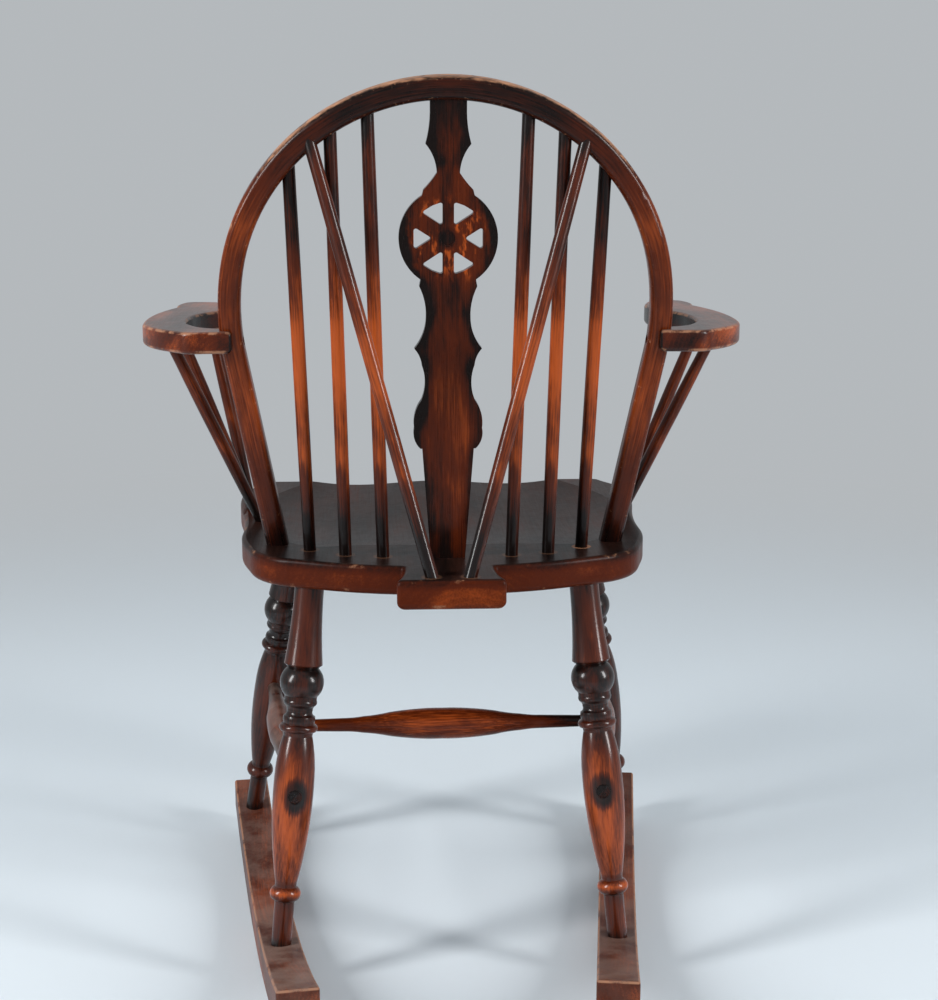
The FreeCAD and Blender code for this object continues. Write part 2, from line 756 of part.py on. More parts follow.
# The long back sticks and the two braces.
for side in (-1, 1):
    hand = "left" if side > 0 else "right"
    rows_of = (("inner", spindle_inner_x, spindle_inner_inset, spindle_inner_top_x),
               ("middle", spindle_middle_x, spindle_middle_inset, spindle_middle_top_x),
               ("outer", spindle_outer_x, spindle_outer_inset, spindle_outer_top_x))
    for which, foot_x, foot_inset, top_x in rows_of:
        name = "spindle_%s_%s" % (which, hand)
        foot = place(side * foot_x, seat_depth - foot_inset, seat_height)
        crest = on_hoop(side * top_x, bow_height(top_x), spindle_forward)
        p = toward(foot, crest, -stick_socket)
        q = toward(crest, foot, -hoop_width / 10)
        length = (q - p).Length
        finished(turned(name, p, q, stick_stations(length, stick_dia, stick_end_dia,
                                                   stick_socket)), name)
        seat_tools.append(bore("bore_seat_" + name, toward(p, q, -fit_gap),
                               toward(foot, crest, stick_dia), stick_end_dia / 2))
        hoop_tools.append(bore("bore_hoop_" + name, toward(crest, foot, hoop_width * 2),
                               toward(q, p, -fit_gap), stick_end_dia / 2))
    name = "brace_" + hand
    foot = place(side * brace_foot_x, tail_end - brace_foot_inset, seat_height)
    crest = on_hoop(side * brace_top_x, bow_height(brace_top_x), -brace_back)
    p = toward(foot, crest, -stick_socket)
    q = toward(crest, foot, -hoop_width / 10)
    length = (q - p).Length
    finished(turned(name, p, q, stick_stations(length, stick_dia, stick_end_dia,
                                               stick_socket)), name)
    seat_tools.append(bore("bore_seat_" + name, toward(p, q, -fit_gap),
                           toward(foot, crest, stick_dia), stick_end_dia / 2))
    hoop_tools.append(bore("bore_hoop_" + name, toward(crest, foot, hoop_width * 2),
                           toward(q, p, -fit_gap), stick_end_dia / 2))

# The splat: a plank with a baluster outline and a pierced wheel.
splat_foot = place(0, seat_depth - splat_inset, seat_height)
splat_crest = on_hoop(0, hoop_crown_high - hoop_width / 2)
splat_run = (splat_crest - splat_foot).Length
splat_tilt = math.degrees(math.atan2(splat_crest.z - splat_foot.z, splat_crest.y - splat_foot.y))
splat_top = splat_run + splat_housing
# Half the outline from the foot up. Widths are shares of the wheel's radius and heights are
# shares of the open height between the seat and the bow.
splat_shares = ((0.535, 0.252), (0.575, 0.252), (0.704, 0.298), (0.553, 0.360), (0.541, 0.438),
                (0.690, 0.474), (0.453, 0.543), (0.588, 0.609))
w = wheel_radius
start_angle = math.asin(0.82)
splat_points = [(0, -splat_housing), (splat_foot_half, -splat_housing),
                (splat_foot_half, splat_thick / 8)]
splat_points += [(w * a, splat_run * b) for a, b in splat_shares]
wheel_low = (w * 0.561, wheel_high - w * math.sqrt(1 - 0.561 ** 2))
wheel_up = (w * 0.53, wheel_high + w * math.sqrt(1 - 0.53 ** 2))
splat_points += [wheel_low, (w, wheel_high), wheel_up, (w * 0.50, wheel_up[1] + w * 0.115),
                 (w * 0.229, wheel_up[1] + w * 0.452), (w * 0.455, wheel_up[1] + w * 1.015),
                 (splat_top_half, wheel_up[1] + w * 1.62), (splat_top_half, splat_top),
                 (0, splat_top)]
arc_low = w - math.sqrt(w ** 2 - math.hypot(w - wheel_low[0], wheel_high - wheel_low[1]) ** 2 / 4)
arc_up = w - math.sqrt(w ** 2 - math.hypot(w - wheel_up[0], wheel_up[1] - wheel_high) ** 2 / 4)
splat_rises = [0, 0, 0, 0, -w * 0.06, -w * 0.06, w * 0.07, w * 0.03, w * 0.06, w * 0.04, 0,
               -arc_low, -arc_up, 0, w * 0.012, w * 0.05, w * 0.02, 0, 0, 0]
splat_body = doc.addObject("PartDesign::Body", "splat_body")
splat_sketch = profile(splat_body, "XY_Plane", "splat_o", splat_points, splat_rises)
splat_pad = splat_body.newObject("PartDesign::Pad", "splat_board")
splat_pad.Profile = splat_sketch
splat_pad.SideType = "Symmetric"
bind(splat_pad, "Length", "splat_thick")
# Three of the six piercings; the mirror makes the other three.
rim_in = wheel_radius - wheel_rim
pierced_round = wheel_rim * 0.16


def round_the_hub(radius, degrees):
    angle = math.radians(degrees)
    return (radius * math.cos(angle), wheel_high + radius * math.sin(angle))


pierced = []
lift = math.sqrt(rim_in ** 2 - spoke_half ** 2)
for name, high in (("upper", 1), ("lower", -1)):
    corners = [(spoke_half, wheel_high + high * lift * 1.02),
               round_the_hub(rim_in * 1.01, high * 64), round_the_hub(rim_in * 1.04, high * 44),
               (spoke_half, wheel_high + high * wheel_radius * 0.245)]
    points, rises = rounded(corners, pierced_round)
    pierced.append(profile(splat_body, "XY_Plane", "splat_" + name, points, rises))
corners = [round_the_hub(rim_in * 1.02, 18.5), (wheel_radius * 0.325, wheel_high),
           round_the_hub(rim_in * 1.02, -18.5)]
points, rises = rounded(corners, pierced_round)
pierced.append(profile(splat_body, "XY_Plane", "splat_side", points, rises))
holes = []
for sketch in pierced:
    hole = splat_body.newObject("PartDesign::Pocket", sketch.Name + "_hole")
    hole.Profile = sketch
    hole.Type = "ThroughAll"
    hole.SideType = "Symmetric"
    holes.append(hole)
both = splat_body.newObject("PartDesign::Mirrored", "splat_halves")
both.Originals = [splat_pad] + holes
both.MirrorPlane = (plane(splat_body, "YZ_Plane"), [""])
splat_body.Tip = both
splat_body.Placement = FreeCAD.Placement(splat_foot, FreeCAD.Rotation(V(1, 0, 0), splat_tilt))
hub_up = (splat_crest - splat_foot).normalize()
splat_back = V(0, hub_up.z, -hub_up.y)
hub_at = splat_foot + hub_up * wheel_high
hub = doc.addObject("Part::Cylinder", "splat_hub_cut")
bind(hub, "Radius", "hub_radius")
put("splat_hub_run", hub_sink + cut_overrun)
bind(hub, "Height", "splat_hub_run")
hub.Placement = along_z(hub_at + splat_back * (splat_thick / 2 - hub_sink),
                        hub_at + splat_back * splat_thick)
finished(cut("splat_cut", splat_body, [hub]), "splat")


def housing(name, low, high, half):
    """A slot for one end of the splat."""
    box = doc.addObject("Part::Box", name)
    put(name + "_wide", 2 * (half + fit_gap))
    put(name + "_thick", splat_thick + 2 * fit_gap)
    put(name + "_deep", high - low)
    bind(box, "Length", name + "_wide")
    bind(box, "Width", name + "_deep")
    bind(box, "Height", name + "_thick")
    turn = FreeCAD.Rotation(V(1, 0, 0), splat_tilt)
    corner = V(-half - fit_gap, low, -splat_thick / 2 - fit_gap)
    box.Placement = FreeCAD.Placement(splat_foot + turn.multVec(corner), turn)
    return box


seat_tools.append(housing("splat_slot_low", -splat_housing - fit_gap, splat_housing,
                          splat_foot_half))
hoop_tools.append(housing("splat_slot_high", splat_run - splat_housing, splat_top + fit_gap,
                          splat_top_half))

# The arms.
arm_high = seat_height + arm_top_high
arm_low = arm_high - arm_thick
arm_up = (arm_top_high - arm_thick / 2) / math.cos(lean)
butt_x = bow_x(arm_up)
span = arm_out - butt_x
run = arm_length
arm_front = on_hoop(0, arm_up).y + arm_rear_over - arm_length
# The arm in plan, across as shares of its reach beyond the bow and back as shares of its length:
# outer edge from the bow round to the notch, the hand piece, then the inner edge.
arm_stops = [
    (butt_x, run * 0.988, "corner"),
    (butt_x + span * 0.22, run * 0.99, (1, 0.04)),
    (butt_x + span * 0.40, run * 0.995),
    (butt_x + span * 0.62, run * 0.94),
    (butt_x + span * 0.86, run * 0.838),
    (butt_x + span, run * 0.585, (0, -1)),
    (butt_x + span * 0.95, run * 0.375),
    (butt_x + span * 0.80, run * 0.178, "corner"),
    (butt_x + span * 0.84, run * 0.105),
    (butt_x + span * 0.65, 0, (-1, 0)),
    (butt_x + span * 0.40, run * 0.015, "corner"),
    (butt_x + span * 0.265, run * 0.15),
    (butt_x + span * 0.29, run * 0.335, "corner"),
    (butt_x + span * 0.47, run * 0.435),
    (butt_x + span * 0.55, run * 0.60),
    (butt_x + span * 0.475, run * 0.755),
    (butt_x + span * 0.22, run * 0.87),
    (butt_x, run * 0.89, "corner"),
]
arm_points, arm_rises = flow(arm_stops)
arm_rises.append(0)
arm_body = doc.addObject("PartDesign::Body", "arm_body")
arm_sketch = profile(arm_body, "XY_Plane", "arm_o", arm_points, arm_rises)
arm_pad = arm_body.newObject("PartDesign::Pad", "arm_board")
arm_pad.Profile = arm_sketch
bind(arm_pad, "Length", "arm_thick")
eased(arm_body, arm_pad, "arm", 0, arm_thick, "arm_corner_round", "arm_under_round",
      "arm_top_round")
arm_body.Placement = FreeCAD.Placement(V(0, arm_front, arm_low), FreeCAD.Rotation())

# Three sticks carry each arm. Feet are on the seat; heads go up into the arm's underside.
arm_stick_shares = (("rear", 0.953, 0.510, 0.722, 0.65), ("middle", 1.015, 0.366, 0.72, 0.395),
                    ("front", 0.945, 0.27, 0.463, 0.13))
arm_tools = []
for side in (-1, 1):
    hand = "left" if side > 0 else "right"
    for which, foot_share, foot_back, head_share, head_back in arm_stick_shares:
        name = "arm_stick_%s_%s" % (which, hand)
        reach = seat_front_half if which == "front" else seat_rear_half
        foot = place(side * reach * foot_share, seat_depth * foot_back, seat_height)
        head = V(side * (butt_x + span * head_share),
                 arm_front + run * head_back, arm_low)
        p = toward(foot, head, -stick_socket)
        q = toward(head, foot, -arm_socket)
        length = (q - p).Length
        finished(turned(name, p, q, stick_stations(length, arm_stick_dia, arm_stick_end_dia,
                                                   stick_socket)), name)
        seat_tools.append(bore("bore_seat_" + name, toward(p, q, -fit_gap),
                               toward(foot, head, stick_dia), arm_stick_end_dia / 2))
        if side > 0:
            arm_tools.append(bore("bore_" + name, toward(head, foot, arm_stick_dia),
                                  toward(q, p, -fit_gap), arm_stick_end_dia / 2))

# A screw through each side of the bow draws the arm's end up against it.
screw_y = on_hoop(0, arm_up).y
screw_z = arm_low + arm_thick / 2
screw_in = butt_x - hoop_width / 2
head_deep = arm_screw_head / 2
screws = []
for side in (-1, 1):
    hand = "left" if side > 0 else "right"
    flat = V(side * (screw_in + head_deep / 2), screw_y, screw_z)
    tip = V(side * (screw_in + arm_screw_long), screw_y, screw_z)
    shank = doc.addObject("Part::Cylinder", "arm_screw_shank_" + hand)
    put("arm_screw_radius_" + hand, arm_screw_dia / 2)
    put("arm_screw_run_" + hand, (tip - flat).Length)
    bind(shank, "Radius", "arm_screw_radius_" + hand)
    bind(shank, "Height", "arm_screw_run_" + hand)
    shank.Placement = along_z(flat, tip)
    cone = doc.addObject("Part::Cone", "arm_screw_cone_" + hand)
    put("arm_screw_wide_" + hand, arm_screw_head / 2)
    put("arm_screw_sink_" + hand, head_deep)
    bind(cone, "Radius1", "arm_screw_wide_" + hand)
    bind(cone, "Radius2", "arm_screw_radius_" + hand)
    bind(cone, "Height", "arm_screw_sink_" + hand)
    cone.Placement = along_z(flat, tip)
    one = doc.addObject("Part::Fuse", "arm_screw_" + hand)
    one.Base = shank
    one.Tool = cone
    screws.append(one)
    hoop_tools.append(bore("bore_screw_head_" + hand,
                           V(side * (screw_in - cut_overrun), screw_y, screw_z),
                           V(side * (screw_in + head_deep * 2), screw_y, screw_z),
                           arm_screw_head / 2))
    hoop_tools.append(bore("bore_screw_bow_" + hand, flat, tip, arm_screw_dia / 2))
    if side > 0:
        arm_tools.append(bore("bore_screw_arm", flat, tip + V(fit_gap, 0, 0),
                              arm_screw_dia / 2))
fixings = doc.addObject("Part::Compound", "arm_screws_both")
fixings.Links = screws
finished(fixings, "arm_screws")

bored_hoop = cut("hoop_bored", whole_bow, hoop_tools)
finished(bored_hoop, "hoop")
arm_left = cut("arm_bored", arm_body, arm_tools + [whole_bow])
finished(arm_left, "arm_left")
finished(mirrored("arm_mirrored", arm_left), "arm_right")

# Sockets for the legs, in the seat and the rockers.
rocker_tools = {}
for rear in (True, False):
    for side in (-1, 1):
        end = "rear" if rear else "front"
        hand = "left" if side > 0 else "right"
        top, foot = leg_points(side, rear)
        head = toward(top, foot, -leg_top_socket)
        seat_tools.append(bore("bore_seat_leg_%s_%s" % (end, hand),
                               toward(head, foot, -fit_gap), toward(top, foot, leg_top_dia),
                               leg_top_dia / 2))
        if side > 0:
            tip = toward(foot, top, -leg_foot_socket)
            rocker_tools[end] = bore("bore_rocker_leg_" + end, toward(tip, top, -fit_gap),
                                     toward(foot, top, leg_foot_dia), leg_foot_dia / 2)
finished(cut("seat_cut", seat_body, seat_tools), "seat")

# The rockers.
rocker_bottom_radius = rocker_top_radius + rocker_high
heel_set = overall_depth - rocker_wide / 2 * math.sin(rocker_toe)
toe_set = front_leg_foot_set - rocker_front_over
heel_run = (heel_set - rocker_low_set) / math.cos(rocker_toe)
toe_run = (rocker_low_set - toe_set) / math.cos(rocker_toe)


def arc_high(radius, run_out):
    return rocker_centre_high - math.sqrt(radius ** 2 - run_out ** 2)


rocker_points = [(-toe_run, arc_high(rocker_bottom_radius, toe_run)),
                 (heel_run, arc_high(rocker_bottom_radius, heel_run)),
                 (heel_run, arc_high(rocker_top_radius, heel_run)),
                 (-toe_run, arc_high(rocker_top_radius, toe_run))]
rocker_body = doc.addObject("PartDesign::Body", "rocker_body")
rocker_sketch = profile(rocker_body, "XZ_Plane", "rocker_o", rocker_points,
                        [-sagitta(rocker_bottom_radius, rocker_points[0], rocker_points[1]), 0,
                         sagitta(rocker_top_radius, rocker_points[2], rocker_points[3]), 0])
rocker_pad = rocker_body.newObject("PartDesign::Pad", "rocker_board")
rocker_pad.Profile = rocker_sketch
rocker_pad.SideType = "Symmetric"
bind(rocker_pad, "Length", "rocker_wide")
doc.recompute()
rocker_edge = rocker_body.newObject("PartDesign::Fillet", "rocker_edge")
rocker_edge.Base = (rocker_pad, ["Edge%d" % (i + 1)
                                 for i in range(len(rocker_pad.Shape.Edges))])
bind(rocker_edge, "Radius", "rocker_round")
rocker_body.Tip = rocker_edge
low_x = rear_leg_foot_x + (rear_leg_foot_set - rocker_low_set) * math.tan(rocker_toe)
rocker_body.Placement = FreeCAD.Placement(
    place(low_x, rocker_low_set, 0),
    FreeCAD.Rotation(V(0, 0, 1), 90 + math.degrees(rocker_toe)))
rocker_left = cut("rocker_bored", rocker_body, [rocker_tools["rear"], rocker_tools["front"]])
finished(rocker_left, "rocker_left")
finished(mirrored("rocker_mirrored", rocker_left), "rocker_right")

# Check every piece, then write it.
doc.recompute()
for obj in doc.Objects:
    if "Invalid" in obj.State or "Error" in obj.State:
        raise RuntimeError("%s is %s" % (obj.Name, obj.State))
os.makedirs("parts", exist_ok=True)
for obj in kept:
    shape = obj.Shape
    if shape.isNull() or not shape.isValid() or not shape.Solids:
        raise RuntimeError("bad shape: " + obj.Label)
    expected = len(screws) if obj.Label == "arm_screws" else 1
    if len(shape.Solids) != expected:
        raise RuntimeError("%s has %d solids" % (obj.Label, len(shape.Solids)))
mass_sum = sum(o.Shape.Volume for o in kept)
middle = V(0, 0, 0)
for obj in kept:
    for solid in obj.Shape.Solids:
        middle = middle + solid.CenterOfMass * (solid.Volume / mass_sum)
print("volume %.0f cm3, centre of mass y %.1f z %.1f, rocker low point y %.1f" % (
    mass_sum / 1000, middle.y, middle.z, front_y + rocker_low_set))
for obj in kept:
    obj.Shape.exportStep("parts/%s.step" % obj.Label)
    box = obj.Shape.BoundBox
    print("%-26s %9.1f cm3  x %7.1f %7.1f  y %7.1f %7.1f  z %7.1f %7.1f" % (
        obj.Label, obj.Shape.Volume / 1000, box.XMin, box.XMax, box.YMin, box.YMax,
        box.ZMin, box.ZMax))
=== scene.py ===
import math

import bmesh
import bpy
import numpy as np
from bpy.props import FloatProperty, FloatVectorProperty, PointerProperty
from mathutils import Matrix, Vector

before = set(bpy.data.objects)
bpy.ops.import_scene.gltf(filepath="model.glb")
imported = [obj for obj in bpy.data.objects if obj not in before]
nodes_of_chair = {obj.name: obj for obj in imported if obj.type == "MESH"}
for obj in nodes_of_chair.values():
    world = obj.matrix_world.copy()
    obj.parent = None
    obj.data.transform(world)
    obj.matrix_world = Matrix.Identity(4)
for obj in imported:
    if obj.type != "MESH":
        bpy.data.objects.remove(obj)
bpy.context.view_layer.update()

bl_info = {
    "name": "Hoop Back Rocking Chair",
    "version": (1, 0, 0),
    "blender": (4, 5, 0),
    "location": "3D View > Sidebar > Rocking Chair",
    "description": "Stains, wear and polish for a hoop back rocking chair, with its stage",
    "category": "Object",
}

HANDS = ("left", "right")


def tint(name, about, value):
    return FloatVectorProperty(name=name, description=about, subtype="COLOR", size=3, min=0.0,
                               max=1.0, default=value)


def share(name, about, value):
    return FloatProperty(name=name, description=about, subtype="FACTOR", min=0.0, max=1.0,
                         default=value)


def length(name, about, value):
    return FloatProperty(name=name, description=about, unit="LENGTH", min=0.0, default=value)


class StainSettings(bpy.types.PropertyGroup):
    dark: tint("Dark stain", "Near-black stain that gathers at joints and in turned grooves",
               (0.0055, 0.0030, 0.0026))
    body: tint("Body stain", "Dark red brown of the stained wood", (0.066, 0.0100, 0.0022))
    warm: tint("Warm wood", "Orange brown where hands and time have thinned the stain",
               (0.35, 0.062, 0.0095))
    bare: tint("Bare wood", "Pale wood along worn edges", (0.46, 0.22, 0.12))
    seat: tint("Seat stain", "Dark brown of the seat's top", (0.024, 0.0095, 0.0065))
    dust: tint("Dust", "Dry dust and floor wax on the rockers", (0.27, 0.18, 0.145))
    steel: tint("Steel", "Screw heads, dulled by age", (0.33, 0.30, 0.27))


class GrainSettings(bpy.types.PropertyGroup):
    ring_gap: length("Ring gap", "Distance between two growth rings", 0.0032)
    fibre_gap: length("Fibre gap", "Width of one dark fibre streak", 0.0011)
    relief: length("Relief", "Depth of the open grain under the polish", 0.00005)
    gloss: share("Polish roughness", "Roughness of the polish where it is unworn", 0.20)
    coat: share("Polish coat", "Weight of the clear polish over the stain", 0.20)


class StageSettings(bpy.types.PropertyGroup):
    floor: tint("Floor", "Plain pale floor", (0.70, 0.755, 0.795))
    backdrop: tint("Backdrop", "Plain pale backdrop", (0.46, 0.485, 0.505))
    reach: length("Floor reach", "Distance from the chair to where the backdrop rises", 3.6)
    lamp_power: FloatProperty(name="Lamp power", description="Power of each soft lamp in watts",
                              min=0.0, default=75.0)
    lamp_far: length("Lamp distance", "Distance of each lamp from the chair", 3.2)
    lamp_wide: length("Lamp width", "Width of each tall soft lamp", 0.60)
    lamp_tall: length("Lamp height", "Height of each tall soft lamp", 1.75)
    sky: share("Sky", "Strength of the even light from all round", 0.42)
    lens: FloatProperty(name="Lens", description="Focal length", unit="CAMERA", min=1.0,
                        default=61.51)


# Node trees: small helpers, then the shared effects.
class Weave:
    """Adds nodes to one node tree and links them."""

    def __init__(self, tree):
        self.tree = tree

    def add(self, kind, feeds=None, **settings):
        node = self.tree.nodes.new(kind)
        for key, value in settings.items():
            setattr(node, key, value)
        for key, value in (feeds or {}).items():
            self.feed(node.inputs[key], value)
        return node

    def feed(self, socket, value):
        if isinstance(value, bpy.types.NodeSocket):
            self.tree.links.new(value, socket)
        elif socket.type == "RGBA" and len(value) == 3:
            socket.default_value = (*value, 1.0)
        else:
            socket.default_value = value

    def math(self, operation, a, b=0.0, c=0.0, clamp=False):
        node = self.add("ShaderNodeMath", {0: a, 1: b, 2: c}, operation=operation)
        node.use_clamp = clamp
        return node.outputs[0]

    def step(self, value, low, high):
        """0 below low, 1 above high and a soft rise between them."""
        node = self.add("ShaderNodeMapRange", {0: value, 1: low, 2: high},
                        interpolation_type="SMOOTHSTEP")
        return node.outputs[0]

    def mix(self, amount, a, b):
        node = self.add("ShaderNodeMix", {0: amount, 6: a, 7: b}, data_type="RGBA")
        return node.outputs[2]

    def scale(self, vector, factors):
        node = self.add("ShaderNodeVectorMath", {0: vector, 1: factors}, operation="MULTIPLY")
        return node.outputs[0]

    def noise(self, vector, scale, detail=2.0, rough=0.5):
        node = self.add("ShaderNodeTexNoise", {"Vector": vector, "Scale": scale,
                                               "Detail": detail, "Roughness": rough})
        return node.outputs[0]

    def ramp(self, value, stops):
        """Grey levels at places from 0 to 1."""
        node = self.add("ShaderNodeValToRGB", {0: value})
        ramp = node.color_ramp
        while len(ramp.elements) > 1:
            ramp.elements.remove(ramp.elements[-1])
        ramp.elements[0].position = stops[0][0]
        for place, level in stops[1:]:
            ramp.elements.new(place)
        for element, (place, level) in zip(ramp.elements, stops):
            element.color = (level, level, level, 1.0)
        return node.outputs[0]

    def reach(self, x, y):
        return self.math("SQRT", self.math("ADD", self.math("MULTIPLY", x, x),
                                           self.math("MULTIPLY", y, y)))

    def pick(self, choice, a, b):
        """a where the choice is 0 and b where it is 1."""
        return self.math("MULTIPLY_ADD", choice, self.math("SUBTRACT", b, a), a)

    def split(self, vector):
        return self.add("ShaderNodeSeparateXYZ", {0: vector}).outputs

    def join(self, x, y, z):
        return self.add("ShaderNodeCombineXYZ", {0: x, 1: y, 2: z}).outputs[0]

    def close(self, surface, kind="ShaderNodeOutputMaterial"):
        self.add(kind, {0: surface})

    def background_rays(self):
        """1 for the rays that show the plain background, 0 for those that light the chair."""
        path = self.add("ShaderNodeLightPath").outputs
        direct = self.math("MAXIMUM", path["Is Camera Ray"], path["Is Glossy Ray"])
        return self.math("MAXIMUM", direct, path["Is Transmission Ray"])


def blank_material(name):
    """A material without nodes, and the weave that fills it."""
    material = bpy.data.materials.new(name)
    material.use_nodes = True
    material.node_tree.nodes.clear()
    return material, Weave(material.node_tree)


def effect(name, inputs, outputs, build):
    """A shader node group with named sockets. An input is (name, kind, default)."""
    tree = bpy.data.node_groups.new(name, "ShaderNodeTree")
    for label, kind, default in inputs:
        socket = tree.interface.new_socket(label, in_out="INPUT", socket_type="NodeSocket" + kind)
        if default is not None:
            socket.default_value = default
    for label, kind in outputs:
        tree.interface.new_socket(label, in_out="OUTPUT", socket_type="NodeSocket" + kind)
    weave = Weave(tree)
    entry = weave.add("NodeGroupInput").outputs
    results = build(weave, {label: entry[label] for label, kind, default in inputs})
    weave.add("NodeGroupOutput", results)
    return tree


def build_grain(weave, given):
    """Growth rings, fibre streaks and broad blotches along x."""
    place = weave.add("ShaderNodeVectorMath", {0: given["Vector"], 1: given["Pith"]},
                      operation="ADD").outputs[0]
    drawn = weave.scale(place, (0.10, 1.0, 1.0))
    sway = weave.noise(weave.scale(place, (0.35, 1.0, 1.0)), 28.0, 2.0)
    wave = weave.add("ShaderNodeTexWave", {
        "Vector": drawn, "Scale": weave.math("DIVIDE", 0.314, given["Ring Gap"]),
        "Distortion": weave.math("MULTIPLY", sway, given["Wander"]), "Detail": 2.0,
        "Detail Scale": 1.2, "Detail Roughness": 0.6},
        wave_type="RINGS", rings_direction="X", wave_profile="SIN")
    rings = weave.math("POWER", wave.outputs[1], 1.6)
    thin = weave.scale(given["Vector"], (0.035, 1.0, 1.0))
    fine = weave.noise(thin, weave.math("DIVIDE", 0.8, given["Fibre Gap"]), 4.0, 0.62)
    fibre = weave.step(fine, 0.25, 0.75)
    wide = weave.noise(weave.scale(given["Vector"], (0.28, 1.0, 1.0)), given["Blotch Scale"],
                       4.0, 0.6)
    blotch = weave.step(wide, 0.34, 0.68)
    return {"Rings": rings, "Fibre": fibre, "Blotch": blotch}


def build_edge_wear(weave, given):
    """A mask on rounded edges between a flat face and its sides, broken up by chips."""
    normal = weave.add("ShaderNodeNewGeometry").outputs["Normal"]
    dot = weave.add("ShaderNodeVectorMath", {0: normal, 1: given["Face"]},
                    operation="DOT_PRODUCT").outputs["Value"]
    facing = weave.math("ABSOLUTE", dot)
    rise = weave.step(facing, 0.12, 0.5)
    fall = weave.step(facing, 0.99, 0.86)
    band = weave.math("MULTIPLY", rise, fall)
    chips = weave.noise(given["Vector"], given["Chip Scale"], 5.0, 0.65)
    kept = weave.step(chips, weave.math("SUBTRACT", 0.78, given["Amount"]),
                      weave.math("SUBTRACT", 0.90, given["Amount"]))
    return {"Wear": weave.math("MULTIPLY", band, kept)}


def build_stain(weave, given):
    """Colour from a tone of 0, dark stain, to 1, warm wood, with grain and bare edges."""
    tone = weave.math("MULTIPLY_ADD", weave.math("SUBTRACT", given["Blotch"], 0.5),
                      given["Uneven"], given["Tone"])
    tone = weave.math("MULTIPLY_ADD", weave.math("SUBTRACT", given["Fibre"], 0.5),
                      given["Streaks"], tone)
    tone = weave.math("MULTIPLY_ADD", weave.math("SUBTRACT", given["Rings"], 0.5),
                      weave.math("MULTIPLY", given["Streaks"], 0.3), tone)
    low = weave.mix(weave.step(tone, 0.0, 0.5), given["Dark"], given["Body"])
    whole = weave.mix(weave.step(tone, 0.45, 1.0), low, given["Warm"])
    return {"Color": weave.mix(given["Wear"], whole, given["Bare"])}


def build_polish(weave, given):
    """Roughness and relief of an old rubbed polish."""
    smear = weave.noise(given["Vector"], 70.0, 3.0, 0.6)
    rough = weave.math("MULTIPLY_ADD", smear, 0.12, given["Gloss"])
    rough = weave.math("MULTIPLY_ADD", given["Fibre"], 0.06, rough)
    rough = weave.math("MULTIPLY_ADD", given["Wear"], 0.22, rough)
    dents = weave.noise(given["Vector"], 190.0, 2.0, 0.5)
    height = weave.math("MULTIPLY_ADD", dents, 2.2, given["Fibre"])
    height = weave.math("MULTIPLY_ADD", given["Wear"], -1.5, height)
    return {"Roughness": rough, "Height": weave.math("MULTIPLY", height, given["Relief"])}


def build_settled_dust(weave, given):
    """Dust that lies on faces turned upwards and gathers in soft patches."""
    normal = weave.add("ShaderNodeNewGeometry").outputs["Normal"]
    up = weave.step(weave.split(normal)[2], 0.1, 0.9)
    patch = weave.step(weave.noise(given["Vector"], 24.0, 5.0, 0.62), 0.30, 0.62)
    specks = weave.noise(given["Vector"], 420.0, 3.0, 0.7)
    lay = weave.math("MULTIPLY", weave.math("MULTIPLY_ADD", up, 0.72, 0.28), patch)
    lay = weave.math("MULTIPLY", lay, weave.math("MULTIPLY_ADD", specks, 0.9, 0.45))
    return {"Dust": weave.math("MULTIPLY", lay, given["Amount"], clamp=True)}


def make_effects():
    effects = {}
    effects["grain"] = effect(
        "grain", [("Vector", "Vector", None), ("Pith", "Vector", (0.0, 0.03, 0.02)),
                  ("Ring Gap", "Float", 0.003), ("Fibre Gap", "Float", 0.001),
                  ("Blotch Scale", "Float", 26.0), ("Wander", "Float", 5.0)],
        [("Rings", "Float"), ("Fibre", "Float"), ("Blotch", "Float")], build_grain)
    effects["edge_wear"] = effect(
        "edge_wear", [("Vector", "Vector", None), ("Face", "Vector", (0.0, 0.0, 1.0)),
                      ("Amount", "Float", 0.3), ("Chip Scale", "Float", 60.0)],
        [("Wear", "Float")], build_edge_wear)
    effects["stain"] = effect(
        "stain", [("Tone", "Float", 0.5), ("Uneven", "Float", 0.4), ("Streaks", "Float", 0.3),
                  ("Rings", "Float", 0.5), ("Fibre", "Float", 0.5), ("Blotch", "Float", 0.5),
                  ("Wear", "Float", 0.0), ("Dark", "Color", None), ("Body", "Color", None),
                  ("Warm", "Color", None), ("Bare", "Color", None)],
        [("Color", "Color")], build_stain)
    effects["polish"] = effect(
        "polish", [("Vector", "Vector", None), ("Fibre", "Float", 0.5), ("Wear", "Float", 0.0),
                   ("Gloss", "Float", 0.27), ("Relief", "Float", 0.00005)],
        [("Roughness", "Float"), ("Height", "Float")], build_polish)
    effects["settled_dust"] = effect(
        "settled_dust", [("Vector", "Vector", None), ("Amount", "Float", 1.0)],
        [("Dust", "Float")], build_settled_dust)
    return effects


def effect_tree(name):
    if name not in bpy.data.node_groups:
        make_effects()
    return bpy.data.node_groups[name]


# Where each piece lies: its own axes, worked out from its mesh.
def points_of(name):
    mesh = nodes_of_chair[name].data
    flat = np.zeros(len(mesh.vertices) * 3, np.float32)
    mesh.vertices.foreach_get("co", flat)
    return flat.reshape(-1, 3).astype(float)


